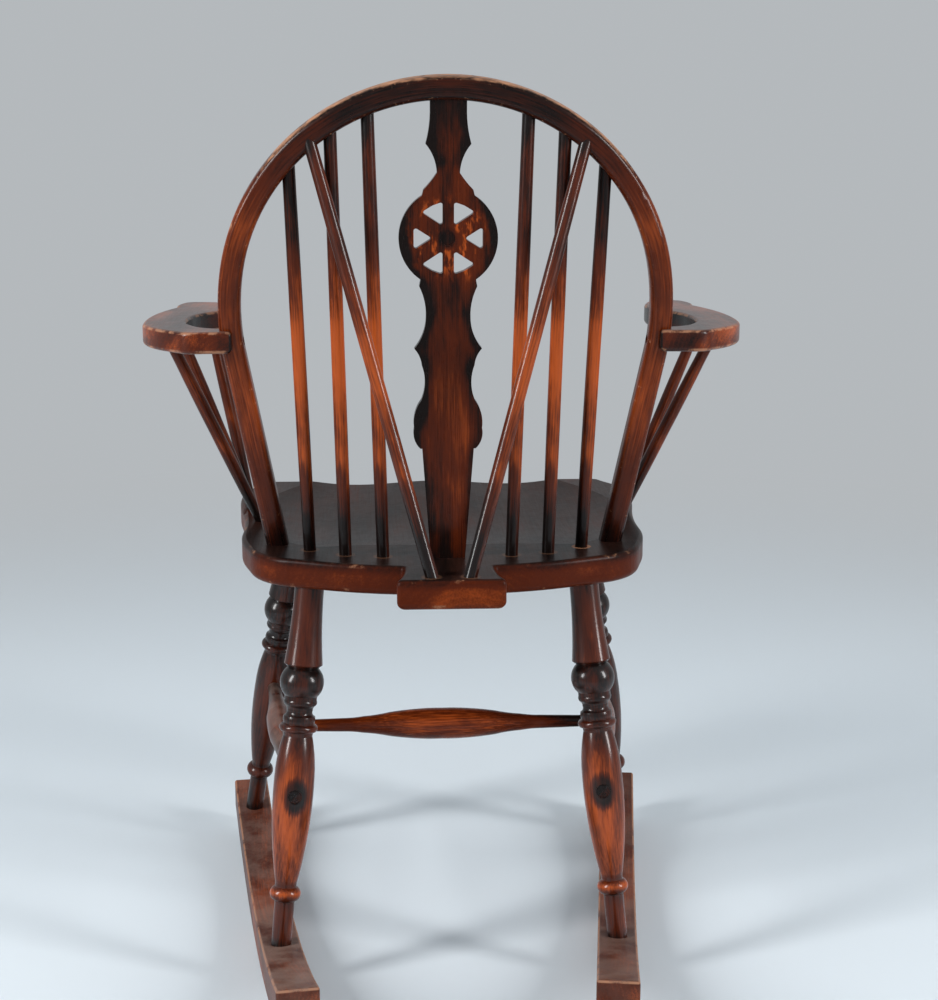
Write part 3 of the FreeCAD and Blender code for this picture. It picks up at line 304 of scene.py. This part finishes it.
def lengthwise(name, way):
    """Start, length and axes of a straight piece.

    Its x axis runs the way given, and its y axis as near as it can be to the chair's x axis, or
    to the chair's z axis where the piece itself lies across the chair.
    """
    points = points_of(name)
    middle = (points.min(0) + points.max(0)) / 2
    spread = points - points.mean(0)
    long_axis = Vector(np.linalg.eigh(spread.T @ spread)[1][:, 2])
    if long_axis.dot(Vector(way)) < 0:
        long_axis.negate()
    x = long_axis.normalized()
    y = Vector((0.0, 0.0, 1.0) if abs(x.x) > 0.7 else (1.0, 0.0, 0.0))
    y = (y - x * x.dot(y)).normalized()
    z = x.cross(y)
    along = points @ np.array(x)
    start = Vector(middle) + x * (along.min() - Vector(middle).dot(x))
    return start, float(along.max() - along.min()), (x, y, z)


class Finish:
    """One piece's material while it is being made: its place, grain and shader."""

    def __init__(self, name, start, run, axes, pith=(0.0, 0.031, 0.017), ring_gap=1.0,
                 fibre_gap=1.0, blotch=26.0, wander=5.0):
        self.stains = bpy.context.scene.chair_stains
        self.polish = bpy.context.scene.chair_grain
        self.material, self.weave = blank_material(name)
        turn = Matrix(axes)
        spot = self.weave.add("ShaderNodeTexCoord").outputs["Object"]
        self.seen = spot
        self.place = self.weave.add("ShaderNodeMapping", {
            "Vector": spot, "Location": -(turn @ start), "Rotation": turn.to_euler("XYZ")},
            vector_type="POINT").outputs[0]
        self.x, self.y, self.z = self.weave.split(self.place)
        self.along = self.weave.math("DIVIDE", self.x, run)
        self.grain = self.group("grain", {
            "Vector": self.place, "Pith": pith, "Ring Gap": self.polish.ring_gap * ring_gap,
            "Fibre Gap": self.polish.fibre_gap * fibre_gap, "Blotch Scale": blotch,
            "Wander": wander})
        self.wear = 0.0

    def group(self, name, feeds):
        """Outputs of one of the shared effects, fed with these values."""
        node = self.weave.add("ShaderNodeGroup", node_tree=effect_tree(name))
        for key, value in feeds.items():
            self.weave.feed(node.inputs[key], value)
        return node.outputs

    def worn(self, face, amount, chip_scale=60.0, strength=1.0):
        """Bare wood along the rounded edges round a face with the normal given."""
        mask = self.group("edge_wear", {"Vector": self.place, "Face": face, "Amount": amount,
                                        "Chip Scale": chip_scale})[0]
        self.add_wear(self.weave.math("MULTIPLY", mask, strength))

    def add_wear(self, mask):
        """Adds a mask to the bare places."""
        self.wear = self.weave.math("MAXIMUM", self.wear, mask)

    def stained(self, tone, uneven, streaks, body=None, warm=None):
        """Colour of the stained wood, with its tone broken up by blotches and by fibres."""
        known = self.stains
        return self.group("stain", {
            "Tone": tone, "Uneven": uneven, "Streaks": streaks, "Rings": self.grain["Rings"],
            "Fibre": self.grain["Fibre"], "Blotch": self.grain["Blotch"], "Wear": self.wear,
            "Dark": known.dark, "Body": body or known.body, "Warm": warm or known.warm,
            "Bare": known.bare})[0]

    def done(self, color, gloss=0.0, coat=1.0, rough_more=0.0, smooth=0.13, sheen=0.10):
        """Closes the material with the polish over its colour.

        gloss is added to the polish's roughness, coat scales its clear coat, smooth is the
        coat's own roughness and sheen is how strongly the stain below reflects.
        """
        polish = self.group("polish", {
            "Vector": self.place, "Fibre": self.grain["Fibre"], "Wear": self.wear,
            "Gloss": self.polish.gloss + gloss, "Relief": self.polish.relief})
        rough = self.weave.math("ADD", polish["Roughness"], rough_more, clamp=True)
        bump = self.weave.add("ShaderNodeBump", {"Height": polish["Height"], "Distance": 1.0,
                                                 "Strength": 1.0})
        shader = self.weave.add("ShaderNodeBsdfPrincipled", {
            "Base Color": color, "Roughness": rough, "Normal": bump.outputs[0],
            "Specular IOR Level": sheen, "Coat Weight": self.polish.coat * coat,
            "Coat Roughness": smooth})
        self.weave.close(shader.outputs[0])
        return self.material


def dress(name, material):
    """Gives a node this material alone."""
    piece = nodes_of_chair[name]
    piece.data.materials.clear()
    piece.data.materials.append(material)


def crossing(name):
    """A number of its own for each piece, so that no two show the same grain."""
    return 0.013 * (sorted(nodes_of_chair).index(name) + 1)


def own_pith(name, far=0.03):
    """Where the middle of the growth rings lies, different for each piece."""
    turn = crossing(name) * 40
    return (crossing(name) * 9, far * math.cos(turn), far * math.sin(turn))


class CHAIR_OT_seat(bpy.types.Operator):
    """Stain and polish the saddled seat"""
    bl_idname = "chair.seat"
    bl_label = "Seat"

    def execute(self, context):
        points = points_of("seat")
        low, high = points.min(0), points.max(0)
        start = Vector((0.0, high[1], high[2]))
        axes = (Vector((0, -1, 0)), Vector((1, 0, 0)), Vector((0, 0, 1)))
        finish = Finish("seat_wood", start, high[1] - low[1], axes, pith=(0.0, 0.02, 0.09),
                        ring_gap=2.2, fibre_gap=1.6, blotch=14.0, wander=9.0)
        weave = finish.weave
        finish.worn((0, 0, 1), 0.20, 46.0, 0.45)
        normal = weave.add("ShaderNodeNewGeometry").outputs["Normal"]
        top = weave.step(weave.split(normal)[2], 0.6, 0.95)
        side_tone = weave.ramp(finish.along, [(0.0, 0.57), (0.09, 0.57), (0.115, 0.52),
                                               (0.3, 0.47), (1.0, 0.42)])
        # The side is darker in a band just under the rounded top edge.
        shade = weave.math("MULTIPLY", weave.step(finish.z, -0.013, -0.003), -0.28)
        side = finish.stained(weave.math("ADD", side_tone, shade), 0.20, 0.12)
        self.ring_feet(finish, top, high[2])
        # The deck that carries the sticks is darker than the dish in front of it.
        deck = weave.math("MULTIPLY_ADD", weave.step(finish.x, 0.15, 0.17), 0.16, 0.30)
        face = finish.stained(deck, 0.5, 0.2, body=finish.stains.seat, warm=finish.stains.body)
        color = weave.mix(top, side, face)
        dress("seat", finish.done(color, gloss=0.06, coat=0.25, smooth=0.24, sheen=0.06))
        return {"FINISHED"}

    def ring_feet(self, finish, top, level):
        """A faint pale ring of old glue round each foot, and one worn bare."""
        weave = finish.weave
        x, y, z = weave.split(finish.seen)
        ragged = weave.noise(finish.place, 300.0, 3.0, 0.6)
        for name in sorted(nodes_of_chair):
            if not name.startswith(("spindle_", "brace_")):
                continue
            start, run, axes = lengthwise(name, (0, 0, 1))
            foot = start + axes[0] * ((level - start.z) / axes[0].z)
            far = weave.reach(weave.math("SUBTRACT", x, foot.x), weave.math("SUBTRACT", y, foot.y))
            far = weave.math("MULTIPLY_ADD", ragged, 0.004, far)
            ring = weave.math("MULTIPLY", weave.step(far, 0.0135, 0.0115), top)
            strength = 0.75 if name == "spindle_outer_right" else 0.16
            finish.add_wear(weave.math("MULTIPLY", ring, strength))


class CHAIR_OT_hoop(bpy.types.Operator):
    """Stain the bent hoop, with grain that follows the bend and wear on its outer edge"""
    bl_idname = "chair.hoop"
    bl_label = "Hoop"

    def execute(self, context):
        points = points_of("hoop")
        crest = points[points[:, 2] > points[:, 2].max() - 0.01].mean(0)
        seat_top = 0.47
        foot = points[(points[:, 2] < seat_top + 0.03) & (points[:, 2] > seat_top)].mean(0)
        rise = Vector((0.0, crest[1] - foot[1], crest[2] - foot[2])).normalized()
        axes = (Vector((1, 0, 0)), rise, Vector((1, 0, 0)).cross(rise))
        # The middle line of the bow: an arc over the crown that turns this far on each side, a
        # flatter arc down each side, and straight legs that lean inward.
        crown, side = 0.2245, 0.272
        turn, inward = math.radians(80.0), math.radians(9.75)
        half_wide = 0.0118
        half_run = 0.66
        high = max(Vector(point).dot(rise) for point in points)
        centre = Vector((0.0, crest[1], crest[2]))
        centre += rise * (high - half_wide - crown - centre.dot(rise))
        finish = Finish("hoop_wood", centre, 1.0, axes)
        weave = finish.weave
        across = weave.math("ABSOLUTE", finish.x)
        # Distance along the bow from its top, and distance off its middle line.
        angle = weave.math("ARCTAN2", across, finish.y)
        along = weave.math("MULTIPLY", angle, crown)
        off = weave.math("SUBTRACT", weave.reach(across, finish.y), crown)
        side_x = weave.math("SUBTRACT", across, (crown - side) * math.sin(turn))
        side_y = weave.math("SUBTRACT", finish.y, (crown - side) * math.cos(turn))
        side_angle = weave.math("ARCTAN2", side_x, side_y)
        side_along = weave.math("MULTIPLY_ADD", weave.math("SUBTRACT", side_angle, turn), side,
                                crown * turn)
        side_off = weave.math("SUBTRACT", weave.reach(side_x, side_y), side)
        end = math.pi / 2 + inward
        leg_x = weave.math("SUBTRACT", side_x, side * math.sin(end))
        leg_y = weave.math("SUBTRACT", side_y, side * math.cos(end))
        leg_along = weave.math("MULTIPLY_ADD", leg_x, math.cos(end), crown * turn
                               + side * (end - turn))
        leg_along = weave.math("MULTIPLY_ADD", leg_y, -math.sin(end), leg_along)
        leg_off = weave.math("MULTIPLY_ADD", leg_y, math.cos(end),
                             weave.math("MULTIPLY", leg_x, math.sin(end)))
        on_side = weave.math("GREATER_THAN", angle, turn)
        on_leg = weave.math("MULTIPLY", on_side, weave.math("GREATER_THAN", side_angle, end))
        along = weave.pick(on_leg, weave.pick(on_side, along, side_along), leg_along)
        off = weave.pick(on_leg, weave.pick(on_side, off, side_off), leg_off)
        finish.place = weave.join(along, off, finish.z)
        finish.grain = finish.group("grain", {
            "Vector": finish.place, "Pith": (0.0, 0.05, 0.02), "Ring Gap": 0.0036,
            "Fibre Gap": 0.0012, "Blotch Scale": 22.0, "Wander": 5.0})
        # The bow's outer edge is rubbed bare round the crown and down to the shoulders.
        chips = weave.noise(weave.scale(finish.place, (0.45, 1.0, 1.0)), 150.0, 4.0, 0.65)
        edge = weave.step(weave.math("MULTIPLY_ADD", chips, 0.007, off), 0.0128, 0.0160)
        share_along = weave.math("DIVIDE", along, half_run)
        rubbed = weave.ramp(share_along, [(0.0, 0.95), (0.22, 0.85), (0.38, 0.40), (0.52, 0.16),
                                          (0.75, 0.22), (0.95, 0.10)])
        patches = weave.step(weave.noise(finish.place, 30.0, 3.0, 0.6),
                             weave.math("SUBTRACT", 0.78, weave.math("MULTIPLY", rubbed, 0.5)),
                             weave.math("SUBTRACT", 0.92, weave.math("MULTIPLY", rubbed, 0.5)))
        finish.add_wear(weave.math("MULTIPLY", edge, patches))
        specks = weave.step(weave.noise(finish.place, 260.0, 3.0, 0.6), 0.63, 0.70)
        brink = weave.step(weave.math("ABSOLUTE", off), 0.006, 0.011)
        finish.add_wear(weave.math("MULTIPLY", specks, weave.math("MULTIPLY", brink, 0.55)))
        tone = weave.ramp(share_along, [
            (0.0, 0.10), (0.16, 0.12), (0.27, 0.24), (0.40, 0.58), (0.60, 0.68), (0.74, 0.58),
            (0.86, 0.40), (0.93, 0.10), (1.0, 0.02)])
        color = finish.stained(tone, 0.30, 0.20)
        dress("hoop", finish.done(color, coat=0.8, sheen=0.08))
        return {"FINISHED"}


class CHAIR_OT_splat(bpy.types.Operator):
    """Stain the pierced wheel splat, darker towards its cut outline"""
    bl_idname = "chair.splat"
    bl_label = "Splat"

    def execute(self, context):
        start, run, axes = lengthwise("splat", (0, 0, 1))
        finish = Finish("splat_wood", start, run, axes, pith=(0.0, 0.004, 0.028), ring_gap=1.5,
                        blotch=30.0, wander=7.0)
        weave = finish.weave
        hub_up, full_half = 0.350, 0.06
        # Half the splat's width at each height, as a share of full_half.
        off = weave.math("ABSOLUTE", finish.y)
        half = weave.ramp(finish.along, [
            (0.0, 0.30), (0.25, 0.48), (0.30, 0.58), (0.36, 0.46), (0.44, 0.45), (0.47, 0.57),
            (0.55, 0.38), (0.61, 0.50), (0.64, 0.72), (0.72, 0.84), (0.80, 0.60), (0.85, 0.20),
            (0.91, 0.38), (1.0, 0.31)])
        depth = weave.math("SUBTRACT", weave.math("MULTIPLY", half, full_half), off)
        core = weave.step(depth, 0.001, 0.014)
        tone = weave.math("MULTIPLY", core, weave.ramp(finish.along, [
            (0.0, 0.05), (0.06, 0.26), (0.12, 0.42), (0.5, 0.40), (0.64, 0.31), (0.72, 0.30),
            (0.82, 0.30), (0.87, 0.27), (0.97, 0.16)]))
        # Hands have thinned the stain on the wheel's spokes and rim, in streaks up the grain.
        hub = weave.reach(weave.math("SUBTRACT", finish.x, hub_up), finish.y)
        near = weave.math("MULTIPLY", weave.step(hub, 0.052, 0.030), weave.step(hub, 0.008, 0.014))
        rubbed = weave.step(weave.noise(weave.scale(finish.place, (0.4, 1.0, 1.0)), 95.0, 4.0,
                                        0.62), 0.50, 0.62)
        tone = weave.math("MULTIPLY", tone, weave.step(hub, 0.003, 0.013))
        tone = weave.math("MULTIPLY_ADD", weave.math("MULTIPLY", near, rubbed), 0.50, tone)
        color = finish.stained(tone, 0.42, 0.22)
        dress("splat", finish.done(color, coat=0.7, sheen=0.07))
        return {"FINISHED"}


# Tone of each kind of stick from its foot to its top.
STICK_TONES = {
    "spindle": [(0.0, 0.02), (0.07, 0.12), (0.18, 0.48), (0.32, 0.66), (0.46, 0.73),
                (0.60, 0.64), (0.76, 0.48), (0.90, 0.22), (1.0, 0.0)],
    "brace": [(0.0, 0.05), (0.10, 0.24), (0.30, 0.50), (0.60, 0.56), (0.85, 0.46), (0.95, 0.28),
              (1.0, 0.08)],
    "arm_stick": [(0.0, 0.02), (0.12, 0.18), (0.4, 0.42), (0.7, 0.40), (0.9, 0.12), (1.0, 0.0)],
}


class CHAIR_OT_sticks(bpy.types.Operator):
    """Stain the long spindles, the two braces and the arm sticks, dark where they enter"""
    bl_idname = "chair.sticks"
    bl_label = "Sticks"

    def execute(self, context):
        for name in sorted(nodes_of_chair):
            kind = next((kind for kind in STICK_TONES if name.startswith(kind)), None)
            if kind is None:
                continue
            start, run, axes = lengthwise(name, (0, 0, 1))
            finish = Finish(name + "_wood", start, run, axes, pith=own_pith(name), ring_gap=0.8,
                            blotch=24.0)
            # The right spindles are a little darker than the left ones.
            strength = 0.92 if kind == "spindle" and name.endswith("right") else 1.0
            stops = [(place, level * strength) for place, level in STICK_TONES[kind]]
            color = finish.stained(finish.weave.ramp(finish.along, stops), 0.60, 0.30)
            coat = 2.0 if kind == "brace" else 1.0
            dress(name, finish.done(color, gloss=0.04, coat=coat, smooth=0.16))
        return {"FINISHED"}


class CHAIR_OT_arms(bpy.types.Operator):
    """Stain the arms, rubbed pale on top and orange round the outside, with painted shade on the
    sides turned inward
    """
    bl_idname = "chair.arms"
    bl_label = "Arms"

    def execute(self, context):
        rim_from, rim_full = 0.285, 0.325
        for hand in HANDS:
            name = "arm_" + hand
            points = points_of(name)
            low, high = points.min(0), points.max(0)
            start = Vector(((low[0] + high[0]) / 2, high[1], high[2]))
            axes = (Vector((0, -1, 0)), Vector((1, 0, 0)), Vector((0, 0, 1)))
            finish = Finish(name + "_wood", start, high[1] - low[1], axes,
                            pith=(crossing(name), 0.06, 0.05), ring_gap=1.4, blotch=20.0)
            weave = finish.weave
            finish.worn((0, 0, 1), 0.34, 60.0, 0.6)
            normal = weave.add("ShaderNodeNewGeometry").outputs["Normal"]
            up = weave.step(weave.split(normal)[2], 0.5, 0.95)
            side = weave.ramp(finish.along, [(0.0, 0.40), (0.05, 0.48), (0.14, 0.68), (1.0, 0.66)])
            hand_way = 1.0 if hand == "left" else -1.0
            # Painted shade: the sides that face in towards the chair, inside each arm's curve, are
            # taken much darker.
            inward_face_shade = weave.step(weave.math("MULTIPLY", weave.split(normal)[0], -hand_way), 0.1, 0.5)
            side = weave.math("MULTIPLY", side, weave.math("MULTIPLY_ADD", inward_face_shade, -0.85, 1.0))
            # The rim that hands and sleeves rub is warmer, and so is the hand piece in front.
            rim = weave.step(weave.math("MULTIPLY", weave.split(finish.seen)[0], hand_way),
                             rim_from, rim_full)
            front = weave.step(finish.along, 0.72, 0.95)
            face = weave.math("MULTIPLY_ADD", weave.math("MAXIMUM", rim, front), 0.26, 0.42)
            color = finish.stained(weave.pick(up, side, face), 0.5, 0.2)
            rubbed = weave.math("MULTIPLY", up, weave.math("MULTIPLY_ADD", finish.grain["Blotch"],
                                                           0.5, 0.5))
            color = weave.mix(weave.math("MULTIPLY", rubbed, 0.30), color, finish.stains.dust)
            dress(name, finish.done(color, gloss=0.04, coat=1.4, smooth=0.16))
        return {"FINISHED"}


class CHAIR_OT_legs(bpy.types.Operator):
    """Stain the turned legs, near black in the turned rings and warm on the long swell"""
    bl_idname = "chair.legs"
    bl_label = "Legs"

    def execute(self, context):
        stops = [(0.0, 0.10), (0.05, 0.26), (0.14, 0.42), (0.235, 0.44), (0.247, 0.03),
                 (0.283, 0.15), (0.325, 0.08), (0.355, 0.03), (0.38, 0.08), (0.40, 0.30),
                 (0.42, 0.14), (0.47, 0.48), (0.54, 0.66), (0.63, 0.76), (0.73, 0.82),
                 (0.785, 0.74), (0.80, 0.42), (0.817, 1.0), (0.838, 0.30), (0.87, 0.46),
                 (0.93, 0.40), (0.95, 0.12)]
        # The front legs take about half the rear legs' tone: painted shade under the seat.
        for end, painted_shade_scale in (("rear", 1.0), ("front", 0.48)):
            for hand in HANDS:
                name = "leg_%s_%s" % (end, hand)
                start, run, axes = lengthwise(name, (0, 0, -1))
                finish = Finish(name + "_wood", start, run, axes, pith=own_pith(name, 0.012),
                                ring_gap=0.9, blotch=26.0)
                weave = finish.weave
                tone = weave.math("MULTIPLY", weave.ramp(finish.along, stops), painted_shade_scale)
                if end == "rear":
                    tone = weave.math("MULTIPLY", tone, self.round_plug(finish, hand, start, axes))
                color = finish.stained(tone, 0.42, 0.20)
                dress(name, finish.done(color, gloss=0.06, coat=2.4, smooth=0.17, sheen=0.10))
        return {"FINISHED"}

    def round_plug(self, finish, hand, start, axes):
        """0 in the dark oval where stain soaked in round the side stretcher's end, 1 outside."""
        weave = finish.weave
        bar = points_of("stretcher_side_" + hand)
        end = Vector(bar[bar[:, 1] > bar[:, 1].max() - 0.002].mean(0)) - start
        side = 1.0 if end.dot(axes[2]) > 0 else -1.0
        half_tall, half_broad = 0.0165, 0.0105
        far = weave.reach(
            weave.math("DIVIDE", weave.math("SUBTRACT", finish.x, end.dot(axes[0])), half_tall),
            weave.math("DIVIDE", weave.math("SUBTRACT", finish.y, end.dot(axes[1])), half_broad))
        front = weave.step(weave.math("MULTIPLY", finish.z, -side), -0.004, 0.004)
        ragged = weave.math("MULTIPLY_ADD", finish.grain["Fibre"], 0.25, far)
        return weave.math("MAXIMUM", weave.step(ragged, 0.90, 1.60), front)


class CHAIR_OT_stretchers(bpy.types.Operator):
    """Stain the two side stretchers and the cross stretcher"""
    bl_idname = "chair.stretchers"
    bl_label = "Stretchers"

    def execute(self, context):
        for name in ("stretcher_side_left", "stretcher_side_right", "stretcher_cross"):
            start, run, axes = lengthwise(name, (0.5, -1, 0))
            finish = Finish(name + "_wood", start, run, axes, pith=own_pith(name, 0.014),
                            ring_gap=0.9, blotch=26.0)
            across = name == "stretcher_cross"
            if across:
                stops = [(0.0, 0.02), (0.08, 0.08), (0.2, 0.50), (0.5, 0.54), (0.8, 0.62),
                         (0.97, 0.70), (1.0, 0.10)]
            else:
                stops = [(0.0, 0.0), (0.08, 0.0), (0.16, 0.26), (0.5, 0.40), (0.84, 0.26),
                         (1.0, 0.05)]
            tone = finish.weave.ramp(finish.along, stops)
            color = finish.stained(tone, 0.42, 0.24)
            more = 0.0
            if not across:
                more = finish.group("settled_dust", {"Vector": finish.place, "Amount": 0.60})[0]
                # None on the end that shows as a plug in the rear leg.
                more = finish.weave.math("MULTIPLY", more,
                                         finish.weave.step(finish.along, 0.05, 0.13))
                color = finish.weave.mix(more, color, finish.stains.dust)
                more = finish.weave.math("MULTIPLY", more, 0.4)
            dress(name, finish.done(color, gloss=-0.02, rough_more=more))
        return {"FINISHED"}


class CHAIR_OT_rockers(bpy.types.Operator):
    """Stain the rockers and lay dust on them"""
    bl_idname = "chair.rockers"
    bl_label = "Rockers"

    def execute(self, context):
        for hand in HANDS:
            name = "rocker_" + hand
            start, run, axes = lengthwise(name, (0, 1, 0))
            finish = Finish(name + "_wood", start, run, axes, pith=own_pith(name, 0.07),
                            ring_gap=1.3, blotch=18.0)
            weave = finish.weave
            finish.worn((0, 0, 1), 0.40, 50.0, 0.6)
            color = finish.stained(0.50 if hand == "left" else 0.46, 0.35, 0.22)
            amount = 0.62 if hand == "left" else 0.40
            dust = finish.group("settled_dust", {"Vector": finish.place, "Amount": amount})[0]
            # More dust towards the rear tips, where feet and brooms reach.
            dust = weave.math("MULTIPLY", dust, weave.ramp(finish.along, [
                (0.0, 0.45), (0.45, 0.75), (0.75, 1.0), (1.0, 1.0)]), clamp=True)
            color = weave.mix(dust, color, finish.stains.dust)
            dress(name, finish.done(color, gloss=0.10, coat=0.4,
                                    rough_more=weave.math("MULTIPLY", dust, 0.35)))
        return {"FINISHED"}


class CHAIR_OT_screws(bpy.types.Operator):
    """Give the arm screws their dulled steel"""
    bl_idname = "chair.screws"
    bl_label = "Arm screws"

    def execute(self, context):
        stains = context.scene.chair_stains
        material, weave = blank_material("screw_steel")
        spot = weave.add("ShaderNodeTexCoord").outputs["Object"]
        tarnish = weave.step(weave.noise(spot, 380.0, 4.0, 0.6), 0.35, 0.65)
        scratch = weave.noise(weave.scale(spot, (1.0, 9.0, 1.0)), 900.0, 2.0)
        color = weave.mix(tarnish, stains.steel, (0.10, 0.075, 0.06))
        rough = weave.math("MULTIPLY_ADD", tarnish, 0.25, 0.34)
        bump = weave.add("ShaderNodeBump", {"Height": weave.math("MULTIPLY", scratch, 0.00003),
                                            "Distance": 1.0})
        shader = weave.add("ShaderNodeBsdfPrincipled", {
            "Base Color": color, "Roughness": rough, "Metallic": 1.0, "Normal": bump.outputs[0]})
        weave.close(shader.outputs[0])
        dress("arm_screws", material)
        return {"FINISHED"}


def stage_material(name, settings):
    """Pale floor near the chair that turns into an even backdrop further out."""
    material, weave = blank_material(name)
    x, y, z = weave.split(weave.add("ShaderNodeTexCoord").outputs["Object"])
    fade = weave.step(weave.reach(x, y), 0.7, settings.reach * 0.8)
    diffuse = weave.add("ShaderNodeBsdfPrincipled", {"Base Color": settings.floor,
                                                     "Roughness": 0.9,
                                                     "Specular IOR Level": 0.1})
    glow = weave.add("ShaderNodeEmission", {"Color": settings.backdrop, "Strength": 1.0})
    seen = weave.math("MULTIPLY", fade, weave.background_rays())
    blend = weave.add("ShaderNodeMixShader", {0: seen, 1: diffuse.outputs[0],
                                              2: glow.outputs[0]})
    weave.close(blend.outputs[0])
    return material


class CHAIR_OT_stage(bpy.types.Operator):
    """Lay the pale floor, hang the soft lamps and set the camera"""
    bl_idname = "chair.stage"
    bl_label = "Stage"

    def execute(self, context):
        scene = context.scene
        settings = scene.chair_stage
        scene.view_settings.view_transform = "Standard"
        floor = self.make_floor(settings)

        world = scene.world or bpy.data.worlds.new("Studio")
        scene.world = world
        world.use_nodes = True
        world.node_tree.nodes.clear()
        weave = Weave(world.node_tree)
        even = weave.add("ShaderNodeBackground", {"Color": (1.0, 1.0, 1.0),
                                                  "Strength": settings.sky})
        shown = weave.add("ShaderNodeBackground", {"Color": settings.backdrop, "Strength": 1.0})
        blend = weave.add("ShaderNodeMixShader", {0: weave.background_rays(), 1: even.outputs[0],
                                                  2: shown.outputs[0]})
        weave.close(blend.outputs[0], "ShaderNodeOutputWorld")

        # The photograph's camera, fitted to the chair: behind it, a little above its back.
        stand = (0.0760, 1.8560, 0.9020)
        ahead = Vector((-0.05453, -0.97705, -0.20594)).normalized()
        level = ahead.cross(Vector((0, 0, 1))).normalized()
        lift = level.cross(ahead).normalized()
        roll = 0.00121
        right = level * math.cos(roll) + lift * math.sin(roll)
        up = lift * math.cos(roll) - level * math.sin(roll)
        camera_data = bpy.data.cameras.new("Camera")
        camera_data.sensor_fit = "AUTO"
        camera_data.sensor_width = 36.0
        camera_data.lens = settings.lens
        camera = bpy.data.objects.new("Camera", camera_data)
        scene.collection.objects.link(camera)
        turn = Matrix((right, up, -ahead)).transposed()
        camera.matrix_world = Matrix.Translation(stand) @ turn.to_4x4()
        scene.camera = camera

        # Two tall soft lamps. Each way is right, up and back as the camera sees it.
        aim = Vector((0.0, 0.05, 0.55))
        for name, way, part in (("lamp_left", (-0.78, 0.28, 0.50), 1.2),
                                ("lamp_right", (0.86, 0.24, 0.46), 1.05)):
            lamp_data = bpy.data.lights.new(name, "AREA")
            lamp_data.shape = "RECTANGLE"
            lamp_data.size = settings.lamp_wide
            lamp_data.size_y = settings.lamp_tall
            lamp_data.energy = settings.lamp_power * part
            lamp = bpy.data.objects.new(name, lamp_data)
            scene.collection.objects.link(lamp)
            spot = aim + (right * way[0] + up * way[1] - ahead * way[2]) * settings.lamp_far
            lamp.location = spot
            lamp.rotation_euler = (aim - spot).to_track_quat("-Z", "Y").to_euler()
        return {"FINISHED"}

    def make_floor(self, settings):
        """A wide disc whose rim curves up into a wall."""
        reach = settings.reach
        mesh = bpy.data.meshes.new("floor")
        form = bmesh.new()
        profile = [(0.0, 0.0), (reach * 0.5, 0.0), (reach, 0.0)]
        bend, bend_steps = reach * 0.35, 8
        for i in range(1, bend_steps + 1):
            angle = math.radians(90.0 * i / bend_steps)
            profile.append((reach + bend * math.sin(angle), bend - bend * math.cos(angle)))
        profile.append((reach + bend, reach * 1.6))
        verts = [form.verts.new((x, 0.0, z)) for x, z in profile]
        edges = [form.edges.new(pair) for pair in zip(verts, verts[1:])]
        bmesh.ops.spin(form, geom=verts + edges, cent=(0, 0, 0), axis=(0, 0, 1),
                       angle=math.tau, steps=72, use_merge=True)
        bmesh.ops.remove_doubles(form, verts=form.verts, dist=0.0001)
        bmesh.ops.recalc_face_normals(form, faces=form.faces)
        for face in form.faces:
            face.smooth = True
        form.to_mesh(mesh)
        form.free()
        mesh.materials.append(stage_material("pale_floor", settings))
        floor = bpy.data.objects.new("floor", mesh)
        bpy.context.scene.collection.objects.link(floor)
        floor.visible_shadow = False
        return floor


class CHAIR_PT_panel(bpy.types.Panel):
    """Lists the chair's pieces and settings"""
    bl_idname = "CHAIR_PT_panel"
    bl_label = "Rocking Chair"
    bl_space_type = "VIEW_3D"
    bl_region_type = "UI"
    bl_category = "Rocking Chair"

    def draw(self, context):
        layout = self.layout
        for group in (context.scene.chair_stains, context.scene.chair_grain,
                      context.scene.chair_stage):
            box = layout.box()
            for key in group.__annotations__:
                box.prop(group, key)
        for operator in OPERATORS:
            layout.operator(operator.bl_idname)


OPERATORS = (CHAIR_OT_seat, CHAIR_OT_hoop, CHAIR_OT_splat, CHAIR_OT_sticks, CHAIR_OT_arms,
             CHAIR_OT_legs, CHAIR_OT_stretchers, CHAIR_OT_rockers, CHAIR_OT_screws,
             CHAIR_OT_stage)
SETTINGS = (("chair_stains", StainSettings), ("chair_grain", GrainSettings),
            ("chair_stage", StageSettings))


def register():
    for name, group in SETTINGS:
        bpy.utils.register_class(group)
        setattr(bpy.types.Scene, name, PointerProperty(type=group))
    for operator in OPERATORS:
        bpy.utils.register_class(operator)
    bpy.utils.register_class(CHAIR_PT_panel)


def unregister():
    bpy.utils.unregister_class(CHAIR_PT_panel)
    for operator in reversed(OPERATORS):
        bpy.utils.unregister_class(operator)
    for name, group in reversed(SETTINGS):
        delattr(bpy.types.Scene, name)
        bpy.utils.unregister_class(group)


def main():
    register()
    for operator in OPERATORS:
        family, call = operator.bl_idname.split(".")
        getattr(getattr(bpy.ops, family), call)()


if __name__ == "__main__":
    main()
